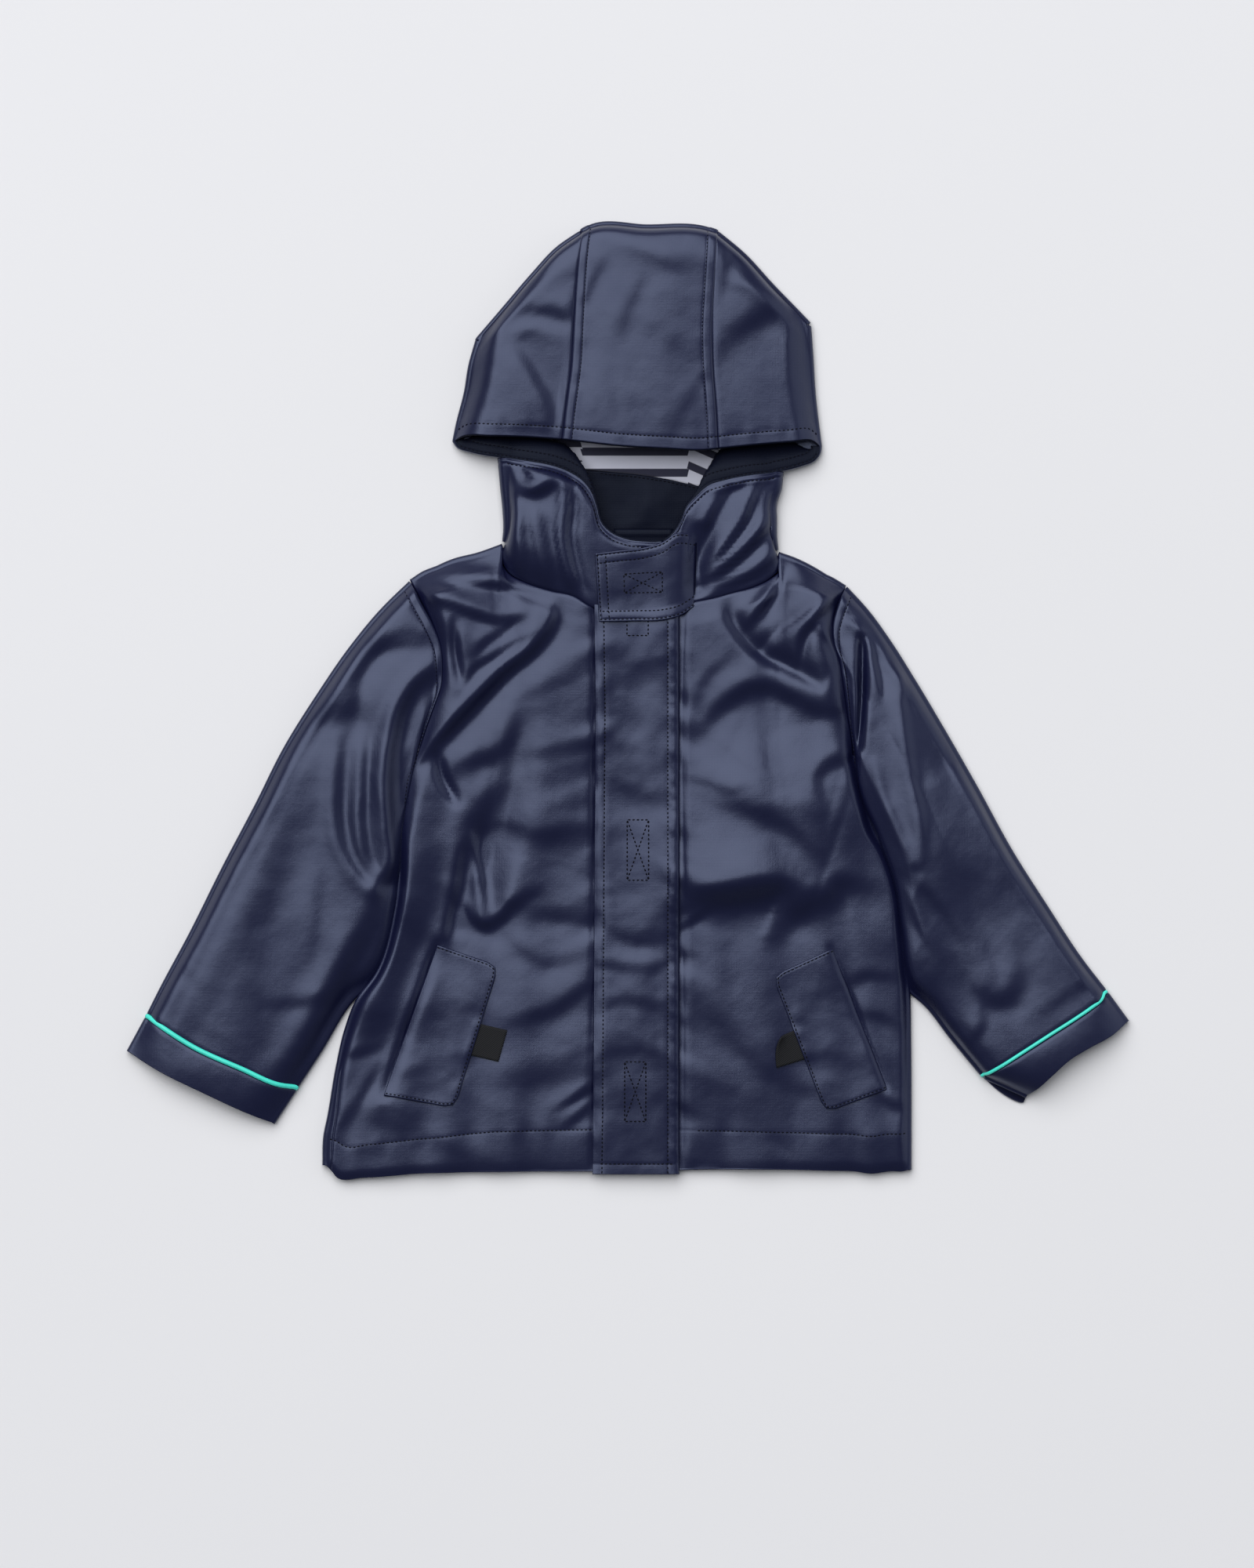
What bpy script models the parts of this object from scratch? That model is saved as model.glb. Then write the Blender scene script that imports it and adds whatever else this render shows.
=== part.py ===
"""Child's hooded raincoat, laid flat on a table with its front up.

The origin is on the table under the middle of the coat, +X to the right as seen from above,
+Y from the hem to the hood and +Z up. Tables are in millimetres, the meshes in metres.

Each cut piece is one closed wall: its outline is a table of points, its height a low crown with
the cloth's largest folds, and a Solidify modifier gives it its thickness. Left is -X.
"""

import math
from collections import namedtuple

import bmesh
import bpy
import numpy as np
from mathutils import Vector
from mathutils.bvhtree import BVHTree

MM = 0.001

# Driving sizes, mm
WALL = 1.6                  # coated cloth with its backing
THIN_WALL = 1.0             # jersey lining and facing
TAPE_WALL = 1.2             # twill tape of the pull tabs
SEAM_GAP = 0.4              # between flat pieces along a seam
SLEEVE_GAP = 1.5            # between sleeve and body round the armhole
UNDERARM_GAP = 1.2          # more of it at the underarm
NECK_POINT_GAP = 1.2        # more of the seam gap where neck seam and shoulder meet
SIDE_GAP = 2.2              # between a sleeve's inner fold and the body's side
LAY_GAP = 0.35              # between a piece and what it lies on
CUFF_GAP = 1.75             # from the piping's middle to the cloth on either side
PIPING_RADIUS = 1.3
CENTRE_X = 5.0              # where the two fronts meet
GUARD_WIDTH = 38.0
FLAP_LEFT_X, FLAP_RIGHT_X = -21.4, 32.9

TABLE_LAYER = WALL / 2      # height of the middle of the cloth that lies on the table
EDGE_LAYER = 3.0            # the same for an upper layer along a seam at the outline
FOLD_LAYER = 4.8            # the same where an upper layer folds round to the lower one
FOLD_REACH = (FOLD_LAYER - TABLE_LAYER) / 2 + WALL / 2   # cloth beyond a folded layer's edge
FOLD_ANGLES = (0.0, 60.0, 120.0, 180.0)
LINING_LAYER = WALL + LAY_GAP + THIN_WALL / 2
LEAST_FOLD_WIDTH = 8.0      # narrower folds are left to the sewing and the surface

# Outlines. Columns: x, y in plan, z of the middle of the cloth, mm.
ARMHOLE_LEFT = (
    (-140.0, 75.5, 3.6),
    (-130.0, 59.5, 7.0),
    (-119.3, 35.8, 9.5),
    (-118.8, 9.8, 10.0),
    (-129.0, -17.3, 9.0),
    (-139.5, -41.3, 6.8),
    (-144.0, -59.8, 4.6),
)
ARMHOLE_RIGHT = (
    (139.6, 71.5, 3.6),
    (130.8, 50.0, 8.0),
    (131.6, 38.5, 9.2),
    (136.5, 17.5, 9.6),
    (140.4, -7.8, 8.6),
    (146.0, -34.3, 4.8),
)
SIDE_LEFT = (
    (-144.0, -59.8, 4.6),
    (-147.0, -112.8, 3.2),
    (-150.5, -138.0, EDGE_LAYER),
    (-162.0, -174.0, EDGE_LAYER),
    (-179.5, -207.0, EDGE_LAYER),
    (-188.5, -245.0, EDGE_LAYER),
    (-195.0, -296.0, EDGE_LAYER),
)
SIDE_RIGHT = (
    (146.0, -34.3, 4.8),
    (153.0, -66.8, 3.6),
    (166.5, -97.0, EDGE_LAYER),
    (175.5, -128.0, EDGE_LAYER),
    (180.4, -182.8, EDGE_LAYER),
    (181.3, -299.5, EDGE_LAYER),
)
SHOULDER_LEFT = (
    (-140.0, 75.5, 3.6),
    (-122.5, 86.3, EDGE_LAYER),
    (-100.0, 93.6, EDGE_LAYER),
    (-80.6, 100.6, 3.8),
)
SHOULDER_RIGHT = (
    (139.6, 71.5, 3.6),
    (120.7, 84.8, EDGE_LAYER),
    (108.0, 91.3, EDGE_LAYER),
    (96.6, 95.2, 3.8),
)
NECK_SEAM_LEFT = (
    (-80.6, 100.6, 3.8),
    (-80.7, 88.0, 6.4),
    (-70.0, 78.0, 8.6),
    (-48.5, 70.3, 10.2),
    (-20.2, 60.5, 12.0),
    (CENTRE_X - 0.2, 57.0, 12.4),
)
NECK_SEAM_RIGHT = (
    (96.6, 95.2, 3.8),
    (97.0, 84.5, 6.4),
    (82.0, 73.6, 8.8),
    (55.0, 65.8, 11.0),
    (28.0, 60.0, 12.2),
    (CENTRE_X + 0.2, 57.0, 12.4),
)
CENTRE_FRONT = (
    (0.0, -300.2, 7.6),
    (0.0, -250.0, 10.4),
    (0.0, -100.0, 12.2),
    (0.0, 57.0, 12.4),
)
HEM_LEFT = (
    (-195.0, -296.0, EDGE_LAYER),
    (-186.0, -304.2, 4.2),
    (-168.3, -304.4, 6.0),
    (-137.5, -302.0, 8.0),
    (-102.5, -300.9, 7.2),
    (-60.2, -300.4, 8.2),
    (CENTRE_X - 0.2, -300.2, 7.6),
)
HEM_RIGHT = (
    (181.3, -299.5, EDGE_LAYER),
    (155.8, -301.6, 6.6),
    (120.0, -299.8, 8.2),
    (85.5, -299.0, 7.4),
    (CENTRE_X + 0.2, -300.2, 7.6),
)

# Sleeves: outline down to the piping, mm
SLEEVE_OUTER_LEFT = (
    (-141.5, 76.0, 3.6),
    (-177.7, 34.9, FOLD_LAYER),
    (-238.0, -65.6, FOLD_LAYER),
    (-280.3, -148.3, FOLD_LAYER),
    (-307.8, -200.0, FOLD_LAYER),
)
SLEEVE_INNER_LEFT = (
    (-144.0, -59.8, 4.6),
    (-147.5, -112.8, FOLD_LAYER),
    (-151.0, -138.0, FOLD_LAYER),
    (-162.5, -174.0, FOLD_LAYER),
    (-181.5, -203.0, FOLD_LAYER),
    (-209.3, -248.3, FOLD_LAYER),
)
SLEEVE_OUTER_RIGHT = (
    (141.0, 72.3, 3.6),
    (167.5, 39.3, FOLD_LAYER),
    (223.3, -54.3, FOLD_LAYER),
    (268.0, -130.3, FOLD_LAYER),
    (306.0, -184.0, FOLD_LAYER),
)
SLEEVE_INNER_RIGHT = (
    (146.0, -34.3, 4.8),
    (153.5, -66.8, FOLD_LAYER),
    (167.0, -97.0, FOLD_LAYER),
    (176.0, -128.0, FOLD_LAYER),
    (183.0, -183.0, FOLD_LAYER),
    (195.3, -205.9, FOLD_LAYER),
    (223.1, -240.0, FOLD_LAYER),
)
PIPING_LINE_LEFT = (
    (-307.8, -200.0, FOLD_LAYER),
    (-277.7, -219.8, 10.6),
    (-245.8, -234.3, 11.0),
    (-211.1, -247.3, FOLD_LAYER),
)
PIPING_LINE_RIGHT = (
    (306.0, -184.0, FOLD_LAYER),
    (286.0, -201.1, 10.8),
    (257.0, -219.6, 11.2),
    (224.8, -238.6, FOLD_LAYER),
)
CUFF_FOOT_LEFT = (
    (-320.0, -222.8, FOLD_LAYER),
    (-297.5, -236.6, 10.2),
    (-262.0, -254.0, 10.6),
    (-225.8, -269.8, FOLD_LAYER),
)
CUFF_FOOT_RIGHT = (
    (320.0, -203.6, FOLD_LAYER),
    (297.5, -221.8, 10.4),
    (273.0, -237.5, 10.8),
    (240.0, -254.5, FOLD_LAYER),
)

# Hood: the brim is at y 160 to 170, the crown's fold at y 300, mm
CROWN_TIP_Y = 304.2
BRIM_LEFT = (
    (-112.0, 166.4, FOLD_LAYER),
    (-87.5, 169.5, 8.2),
    (-42.2, 167.0, 12.6),
)
BRIM_CENTRE = (
    (-41.8, 167.0, 12.6),
    (-10.0, 163.5, 14.4),
    (24.5, 161.3, 14.8),
    (57.5, 161.5, 12.8),
)
BRIM_RIGHT = (
    (124.0, 163.0, FOLD_LAYER),
    (84.5, 164.0, 9.2),
    (57.9, 161.5, 12.8),
)
HOOD_SEAM_LEFT = (
    (-42.0, 167.0, 12.6),
    (-36.5, 210.5, 19.5),
    (-34.5, 243.3, 21.5),
    (-32.4, 275.0, 16.0),
    (-29.3, 301.3, FOLD_LAYER),
)
HOOD_SEAM_RIGHT = (
    (57.7, 161.5, 12.8),
    (54.5, 210.5, 19.5),
    (54.2, 243.3, 21.5),
    (56.0, 274.3, 16.0),
    (57.0, 300.8, FOLD_LAYER),
)
CROWN_SIDE_LEFT = (
    (-112.0, 166.4, FOLD_LAYER),
    (-104.5, 198.3, FOLD_LAYER),
    (-101.0, 218.0, FOLD_LAYER),
    (-97.0, 231.8, FOLD_LAYER),
)
CROWN_TOP_LEFT = (
    (-97.0, 231.8, FOLD_LAYER),
    (-61.5, 273.3, FOLD_LAYER),
    (-46.0, 289.8, FOLD_LAYER),
    (-29.3, 301.3, FOLD_LAYER),
)
CROWN_SIDE_RIGHT = (
    (124.0, 163.0, FOLD_LAYER),
    (120.0, 196.8, FOLD_LAYER),
    (118.5, 220.8, FOLD_LAYER),
    (117.0, 241.5, FOLD_LAYER),
)
CROWN_TOP_RIGHT = (
    (117.0, 241.5, FOLD_LAYER),
    (93.5, 265.8, FOLD_LAYER),
    (74.5, 286.3, FOLD_LAYER),
    (57.0, 300.8, FOLD_LAYER),
)
CROWN_TOP_CENTRE = (
    (-29.3, 301.3, FOLD_LAYER),
    (-22.0, CROWN_TIP_Y - 0.4, FOLD_LAYER),
    (14.0, CROWN_TIP_Y, FOLD_LAYER),
    (49.0, CROWN_TIP_Y - 0.8, FOLD_LAYER),
    (57.0, 300.8, FOLD_LAYER),
)
LIP_LEFT = (
    (-83.4, 154.6, FOLD_LAYER),
    (-62.5, 152.3, 8.4),
    (-37.5, 145.8, 10.4),
    (-23.5, 133.3, 11.4),
    (-17.2, 114.0, 12.2),
    (-3.0, 103.4, 12.6),
    (CENTRE_X - 0.2, 101.4, 12.6),
)
LIP_RIGHT = (
    (99.6, 145.8, FOLD_LAYER),
    (78.8, 143.8, 8.4),
    (51.5, 137.3, 10.6),
    (37.8, 123.5, 11.6),
    (31.5, 108.8, 12.4),
    (19.0, 100.6, 12.6),
    (CENTRE_X + 0.2, 101.4, 12.6),
)
NECK_FOLD_LEFT = (
    (-80.2, 101.6, FOLD_LAYER),
    (-80.0, 120.8, FOLD_LAYER),
    (-83.4, 154.6, FOLD_LAYER),
)
NECK_FOLD_RIGHT = (
    (96.2, 96.2, FOLD_LAYER),
    (95.2, 122.0, FOLD_LAYER),
    (99.6, 145.8, FOLD_LAYER),
)
BACK_NECK = (
    (-80.4, 100.8, TABLE_LAYER),
    (-40.0, 93.0, TABLE_LAYER),
    (8.0, 90.0, TABLE_LAYER),
    (56.0, 91.5, TABLE_LAYER),
    (96.4, 95.4, TABLE_LAYER),
)
HOOD_BACK_SEAM_X = ((92.0, -22.0, 44.0), (150.0, -33.0, 54.0), (302.0, -29.3, 57.0))  # y, left, right
MOUTH_BACK_Y = 148.0        # where the hood's lower layer narrows to the neck

# Folds: a curve through three places in plan, its rise (a trough is negative) and its width, mm.
Fold = namedtuple("Fold", "x0 y0 x1 y1 x2 y2 rise width")
FRONT_FOLDS_LEFT = (
    Fold(-46.9, 69.4, -75.0, 29.0, -126.0, -29.0, 6.0, 7.0),
    Fold(-39.9, 65.2, -68.0, 22.0, -122.0, -37.0, -5.0, 9.0),
    Fold(-131.0, 66.6, -95.0, 60.0, -69.3, 49.8, 3.6, 7.0),
    Fold(-118.5, 80.8, -82.0, 73.0, -54.0, 61.0, -3.4, 7.0),
    Fold(-69.3, 6.3, -82.0, -22.0, -114.2, -51.3, 3.6, 9.0),
    Fold(-146.0, -93.0, -138.0, -130.0, -172.5, -219.0, 2.8, 8.0),
    Fold(-130.4, -103.8, -118.0, -130.0, -121.0, -165.0, -3.0, 10.0),
    Fold(-96.7, -99.8, -96.0, -120.0, -89.7, -139.1, 3.6, 8.0),
    Fold(-77.7, -51.3, -95.0, -62.0, -107.2, -82.2, -3.4, 14.0),
    Fold(-74.2, -148.9, -60.0, -160.0, -30.0, -170.0, -2.6, 9.0),
    Fold(-25.1, -177.0, -45.0, -196.0, -77.0, -196.6, -3.0, 9.0),
)
FRONT_FOLDS_RIGHT = (
    Fold(57.6, 63.8, 70.0, 22.0, 119.3, 6.3, 4.6, 8.0),
    Fold(66.0, 66.0, 78.0, 34.0, 101.0, 22.0, -4.4, 8.0),
    Fold(85.6, 32.9, 108.0, 48.0, 133.4, 69.4, 3.4, 7.0),
    Fold(50.6, -14.8, 85.6, 14.0, 124.9, -5.0, -3.8, 10.0),
    Fold(67.4, -69.6, 96.0, -78.0, 127.7, -103.2, -3.6, 12.0),
    Fold(37.9, -141.9, 60.0, -120.0, 94.1, -111.0, -3.6, 11.0),
    Fold(99.7, -155.0, 114.0, -134.0, 136.2, -112.4, -3.4, 10.0),
    Fold(114.0, -98.0, 117.0, -112.0, 115.1, -127.0, 2.8, 8.0),
    Fold(40.7, -191.0, 62.0, -202.0, 92.7, -238.7, -2.8, 11.0),
)
SLEEVE_FOLDS_LEFT = (
    Fold(-128.0, 8.0, -158.0, -32.0, -150.0, -112.0, -5.0, 9.0),
    Fold(-124.0, 21.5, -154.0, 22.0, -164.3, -18.8, 4.6, 8.0),
    Fold(-182.1, 3.6, -166.5, 12.5, -150.9, 27.0, -3.4, 9.0),
    Fold(-177.7, -25.5, -194.0, -80.0, -150.0, -125.0, 4.4, 9.0),
    Fold(-206.7, -27.7, -226.0, -80.0, -246.9, -179.5, -3.0, 11.0),
    Fold(-193.3, -29.9, -214.0, -101.0, -226.8, -168.3, 2.8, 10.0),
)
SLEEVE_FOLDS_RIGHT = (
    Fold(174.2, -0.9, 180.9, -45.5, 190.9, -99.1, 3.4, 9.0),
    Fold(187.5, -12.0, 199.0, -60.0, 203.2, -112.5, -3.0, 9.0),
    Fold(203.2, -45.5, 223.3, -101.3, 263.5, -168.3, 3.0, 11.0),
    Fold(218.8, -168.3, 234.0, -196.0, 250.0, -188.4, -3.0, 10.0),
    Fold(154.1, 34.9, 161.0, 20.0, 163.0, 5.8, -3.4, 8.0),
)
NECK_FOLDS_LEFT = (
    Fold(-69.1, 149.9, -60.8, 123.4, -49.2, 81.9, -2.6, 7.0),
    Fold(-42.6, 144.1, -40.0, 119.0, -32.6, 81.9, -2.8, 7.0),
)
NECK_FOLDS_RIGHT = (
    Fold(74.4, 131.8, 73.0, 110.0, 54.9, 88.4, 2.6, 7.0),
    Fold(88.5, 119.8, 79.0, 102.0, 51.7, 82.0, 2.4, 7.0),
)
CROWN_FOLDS_LEFT = (Fold(-77.2, 231.3, -60.0, 205.0, -46.0, 178.0, -2.6, 10.0),)
CROWN_FOLDS_RIGHT = (Fold(58.9, 210.5, 78.0, 236.0, 113.0, 240.0, -2.6, 10.0),)

# How far the cloth rises between its edges. Columns: share of the way along, rise in mm.
BODY_RISE = ((0.0, 0.0), (0.05, 3.0), (0.2, 8.0), (0.5, 9.0), (0.7, 7.0), (0.85, 4.0), (1.0, 0.0))
SLEEVE_RISE = ((0.0, 0.0), (0.2, 4.0), (0.5, 6.6), (0.85, 4.6), (1.0, 0.0))
SIDE_ROLL = 26.0            # how far in from the side seam the body reaches its full rise

# Sewn-on pieces, mm: corners in order, the inner two rounded
POCKET_LEFT = ((-155.5, -251.0), (-121.3, -155.5), (-82.5, -168.8), (-110.5, -259.3))
POCKET_RIGHT = ((165.5, -247.3), (130.8, -157.6), (92.5, -175.3), (126.0, -262.0))
POCKET_CORNER = 7.0
NECK_TAB_TOP = ((-20.7, 93.9), (-5.0, 95.8), (9.5, 97.5), (22.0, 101.0), (31.0, 105.6), (45.0, 103.2))
NECK_TAB_FOOT = ((-18.2, 50.6), (4.0, 51.0), (23.8, 51.9), (33.5, 54.6), (40.8, 58.3))
STORM_FLAP_Y = (-301.0, 62.0)
GUARD_LEFT_X = -9.0
GUARD_Y = (-285.0, 108.6)
LINING_FOOT = tuple((x, y, LINING_LAYER) for x, y in
                    ((-70.0, 151.0), (-18.0, 147.0), (5.0, 144.8), (24.5, 141.8), (46.0, 137.3), (82.0, 139.0)))
LINING_HEAD = tuple((x, y, LINING_LAYER) for x, y in ((-56.0, 262.0), (15.0, 268.0), (84.0, 262.0)))
LINING_LEFT = tuple((x, y, LINING_LAYER) for x, y in
                    ((-70.0, 151.0), (-92.0, 186.0), (-84.0, 230.0), (-56.0, 262.0)))
LINING_RIGHT = tuple((x, y, LINING_LAYER) for x, y in
                     ((82.0, 139.0), (106.0, 182.0), (100.0, 230.0), (84.0, 262.0)))
FACING_FOOT = tuple((x, y, LINING_LAYER) for x, y in ((-66.0, 105.0), (8.0, 95.0), (82.0, 100.0)))
# columns: x, y of root upper, end upper, end lower, root lower; rise of the end's upper corner
PULL_TAB_LEFT = ((-97.0, -205.0), (-76.9, -209.7), (-82.6, -229.9), (-103.0, -225.0), 0.6)
PULL_TAB_RIGHT = ((110.0, -208.5), (92.6, -214.6), (94.8, -233.6), (117.0, -226.8), 4.0)

# Mesh rows and columns
BODY_COLUMNS = (6, 10)      # shoulder, neck
BODY_ROWS = (15, 11)        # side, armhole
SLEEVE_GRID = (BODY_ROWS[1], 15)   # across, along
HOOD_SIDE_GRID = (6, 8)
NECK_GRID = (4, BODY_COLUMNS[1])
RELAX_ROUNDS = 25

NAVY = (0.035, 0.043, 0.086)
NAVY_INSIDE = (0.022, 0.026, 0.055)
MINT = (0.066, 0.75, 0.55)
JERSEY = (0.62, 0.63, 0.70)
TAPE_BLACK = (0.010, 0.011, 0.014)


def clear_objects():
    for item in list(bpy.data.objects):
        bpy.data.objects.remove(item, do_unlink=True)


def material(name, colour, roughness):
    finish = bpy.data.materials.new(name)
    finish.use_nodes = True
    shader = finish.node_tree.nodes["Principled BSDF"]
    shader.inputs["Base Color"].default_value = (*colour, 1.0)
    shader.inputs["Roughness"].default_value = roughness
    shader.inputs["Metallic"].default_value = 0.0
    return finish


# ---------------------------------------------------------------- curves and patches

def smooth_curve(rows, steps):
    """Points at equal steps of length along a smooth curve through the rows."""
    knots = np.array(rows, float)
    gaps = np.linalg.norm(np.diff(knots, axis=0), axis=1)
    place = np.concatenate(([0.0], np.cumsum(gaps)))
    slope = np.gradient(knots, place, axis=0)
    fine = np.linspace(0.0, place[-1], 30 * steps + 1)
    span = np.clip(np.searchsorted(place, fine, side="right") - 1, 0, len(gaps) - 1)
    length = gaps[span][:, None]
    t = ((fine - place[span]) / gaps[span])[:, None]
    points = (2 * t**3 - 3 * t**2 + 1) * knots[span] + (3 * t**2 - 2 * t**3) * knots[span + 1]
    points += length * ((t**3 - 2 * t**2 + t) * slope[span] + (t**3 - t**2) * slope[span + 1])
    run = np.concatenate(([0.0], np.cumsum(np.linalg.norm(np.diff(points, axis=0), axis=1))))
    wanted = np.linspace(0.0, run[-1], steps + 1)
    return np.column_stack([np.interp(wanted, run, points[:, axis]) for axis in range(3)])


def side(*stretches):
    """One side of a patch from stretches of (rows, steps), with a corner between stretches."""
    parts = [smooth_curve(rows, steps) for rows, steps in stretches]
    return np.concatenate([parts[0]] + [part[1:] for part in parts[1:]])


def plan_normals(points, turn):
    """Unit plan directions square to a line of points; turn is +1 for its left, -1 for its right."""
    along = np.gradient(points[:, :2], axis=0)
    along /= np.linalg.norm(along, axis=1)[:, None]
    return turn * np.column_stack((-along[:, 1], along[:, 0]))


def inset(points, distance, turn):
    """The line moved sideways in plan."""
    moved = points.copy()
    moved[:, :2] += distance * plan_normals(points, turn)
    return moved


def at_height(points, height):
    flat = np.array(points, float)
    flat[..., 2] = height
    return flat


def patch(foot, head, left, right):
    """Coons patch between four sides; rows run from foot to head, columns from left to right."""
    u = np.linspace(0.0, 1.0, len(foot))[None, :, None]
    v = np.linspace(0.0, 1.0, len(left))[:, None, None]
    left = left.copy()
    right = right.copy()
    left[0], right[0] = foot[0], foot[-1]
    left[-1], right[-1] = head[0], head[-1]
    ruled = (1 - v) * foot[None] + v * head[None] + (1 - u) * left[:, None] + u * right[:, None]
    corners = (1 - u) * (1 - v) * foot[0] + u * (1 - v) * foot[-1]
    corners = corners + (1 - u) * v * head[0] + u * v * head[-1]
    return ruled - corners


def relax(grid, rounds):
    """The patch with its inner points evened out in plan, so that no row crosses a corner."""
    plan = grid[..., :2].copy()
    for _ in range(rounds):
        plan[1:-1, 1:-1] = (plan[:-2, 1:-1] + plan[2:, 1:-1] + plan[1:-1, :-2] + plan[1:-1, 2:]) / 4
    evened = grid.copy()
    evened[..., :2] = plan
    return evened


def shares(grid):
    """Each point's share of the way across and along its patch."""
    across = np.linspace(0.0, 1.0, grid.shape[1])[None, :] * np.ones(grid.shape[:2])
    along = np.linspace(0.0, 1.0, grid.shape[0])[:, None] * np.ones(grid.shape[:2])
    return across, along


def edge_fade(share, band):
    """0 at both ends of a share, 1 beyond the band."""
    t = np.clip(np.minimum(share, 1.0 - share) / band, 0.0, 1.0)
    return t * t * (3.0 - 2.0 * t)


def fold_height(grid, folds):
    """Sum of the folds at the grid's points: each a ridge or trough along a curve, tapered at its ends."""
    total = np.zeros(grid.shape[:2])
    for fold in folds:
        start, bend, end = [np.array(p) for p in
                            ((fold.x0, fold.y0), (fold.x1, fold.y1), (fold.x2, fold.y2))]
        t = np.linspace(0.0, 1.0, 25)[:, None]
        middle = 2.0 * bend - 0.5 * (start + end)
        line = (1 - t)**2 * start + 2 * t * (1 - t) * middle + t**2 * end
        reach = np.linalg.norm(grid[:, :, None, :2] - line[None, None], axis=3)
        nearest = reach.argmin(axis=2)
        taper = np.sin(math.pi * np.clip(0.12 + 0.76 * nearest / 24.0, 0.0, 1.0))**0.7
        width = max(fold.width, LEAST_FOLD_WIDTH)
        total += fold.rise * taper * np.exp(-(reach.min(axis=2) / width)**2)
    return total


def raise_patch(grid, extra, least):
    """The patch lifted by extra, kept clear above what is below it."""
    lifted = grid.copy()
    lifted[..., 2] = np.maximum(grid[..., 2] + extra, np.minimum(grid[..., 2], least))
    return lifted


def fold_strip(upper, lower, outward):
    """The cloth rolled round from an upper edge to the lower edge under it."""
    radius = (upper[:, 2] - lower[:, 2]) / 2
    rows = []
    for angle in FOLD_ANGLES:
        turn = math.radians(angle)
        row = upper.copy()
        row[:, :2] += outward * (radius * math.sin(turn))[:, None]
        row[:, 2] = lower[:, 2] + radius * (1.0 + math.cos(turn))
        rows.append(row)
    return np.array(rows)


# ---------------------------------------------------------------- meshes

def wall_object(name, grids, wall, finish, collection):
    """One wall of cloth from patches that share edges, thickened evenly to both sides."""
    mesh = bpy.data.meshes.new(name)
    form = bmesh.new()
    for grid in grids:
        points = [[form.verts.new(Vector(p) * MM) for p in row] for row in grid]
        for low, high in zip(points, points[1:]):
            for a, b, c, d in zip(low, low[1:], high[1:], high):
                form.faces.new((a, b, c, d))
    bmesh.ops.remove_doubles(form, verts=form.verts, dist=0.02 * MM)
    bmesh.ops.recalc_face_normals(form, faces=form.faces)
    form.to_mesh(mesh)
    form.free()
    mesh.shade_smooth()
    mesh.materials.append(finish)
    item = bpy.data.objects.new(name, mesh)
    collection.objects.link(item)
    thickness = item.modifiers.new("wall", "SOLIDIFY")
    thickness.thickness = wall * MM
    thickness.offset = 0.0
    return item


def surfaces(items):
    bpy.context.view_layer.update()
    graph = bpy.context.evaluated_depsgraph_get()
    return [BVHTree.FromObject(item, graph) for item in items]


def lay_on(grid, items, wall, reach, from_below=False):
    """The patch laid on the items, or drawn up under them, clear of all within reach in plan.

    A point with nothing over or under it keeps level with the row before.
    """
    trees = surfaces(items)
    way = 1.0 if from_below else -1.0
    turns = [(0.0, 0.0)]
    for ring in (0.5, 1.0):
        turns += [(ring * reach * math.cos(a), ring * reach * math.sin(a))
                  for a in np.linspace(0.0, 2.0 * math.pi, 9)[:-1]]
    laid = grid.copy()
    for index in np.ndindex(grid.shape[:2]):
        x, y, height = grid[index]
        found = []
        for dx, dy in turns:
            start = Vector(((x + dx) * MM, (y + dy) * MM, 2.2 * MM if from_below else 0.1))
            for tree in trees:
                hit = tree.ray_cast(start, Vector((0.0, 0.0, way)))[0]
                if hit is not None:
                    found.append(hit.z / MM)
        if found:
            surface = min(found) if from_below else max(found)
            laid[index][2] = surface - way * (LAY_GAP + wall / 2) + height
        elif index[0] > 0:
            laid[index][2] = laid[index[0] - 1, index[1], 2]
    return laid


# ---------------------------------------------------------------- body

def body_front(side_rows, hem_rows, armhole, shoulder, neck, folds):
    """The crowned front from its outline tables; its columns run from the side to the centre."""
    across = sum(BODY_COLUMNS)
    along = sum(BODY_ROWS)
    centre = [(neck[-1][0], y, z) for _, y, z in CENTRE_FRONT]
    foot = side((hem_rows, across))
    head = side((shoulder, BODY_COLUMNS[0]), (neck, BODY_COLUMNS[1]))
    outer = side((side_rows[::-1], BODY_ROWS[0]), (armhole[::-1], BODY_ROWS[1]))
    inner = side((centre, along))
    grid = relax(patch(foot, head, outer, inner), RELAX_ROUNDS)
    u, v = shares(grid)
    from_side = np.linalg.norm(grid[..., :2] - grid[:, :1, :2], axis=2)
    roll = np.sqrt(1.0 - (1.0 - np.clip(from_side / SIDE_ROLL, 0.0, 1.0))**2)
    rise = np.interp(v, *np.transpose(BODY_RISE)) * roll * (1.0 - u)
    fade = edge_fade(u, 0.1) * edge_fade(v, 0.06)
    return raise_patch(grid, rise + fold_height(grid, folds) * fade, EDGE_LAYER)


def back():
    rows = BODY_ROWS
    neck = [(x, y, z) for x, y, z in BACK_NECK]
    neck[0] = (SHOULDER_LEFT[-1][0], SHOULDER_LEFT[-1][1], TABLE_LAYER)
    neck[-1] = (SHOULDER_RIGHT[-1][0], SHOULDER_RIGHT[-1][1], TABLE_LAYER)
    head = side((SHOULDER_LEFT, 3), (neck, 4), (SHOULDER_RIGHT[::-1], 3))
    foot = side((HEM_LEFT, 5), (HEM_RIGHT[::-1], 5))
    left = side((SIDE_LEFT[::-1], rows[0]), (ARMHOLE_LEFT[::-1], rows[1]))
    right = side((SIDE_RIGHT[::-1], rows[0]), (ARMHOLE_RIGHT[::-1], rows[1]))
    return at_height(relax(patch(foot, head, left, right), RELAX_ROUNDS), TABLE_LAYER)


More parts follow.
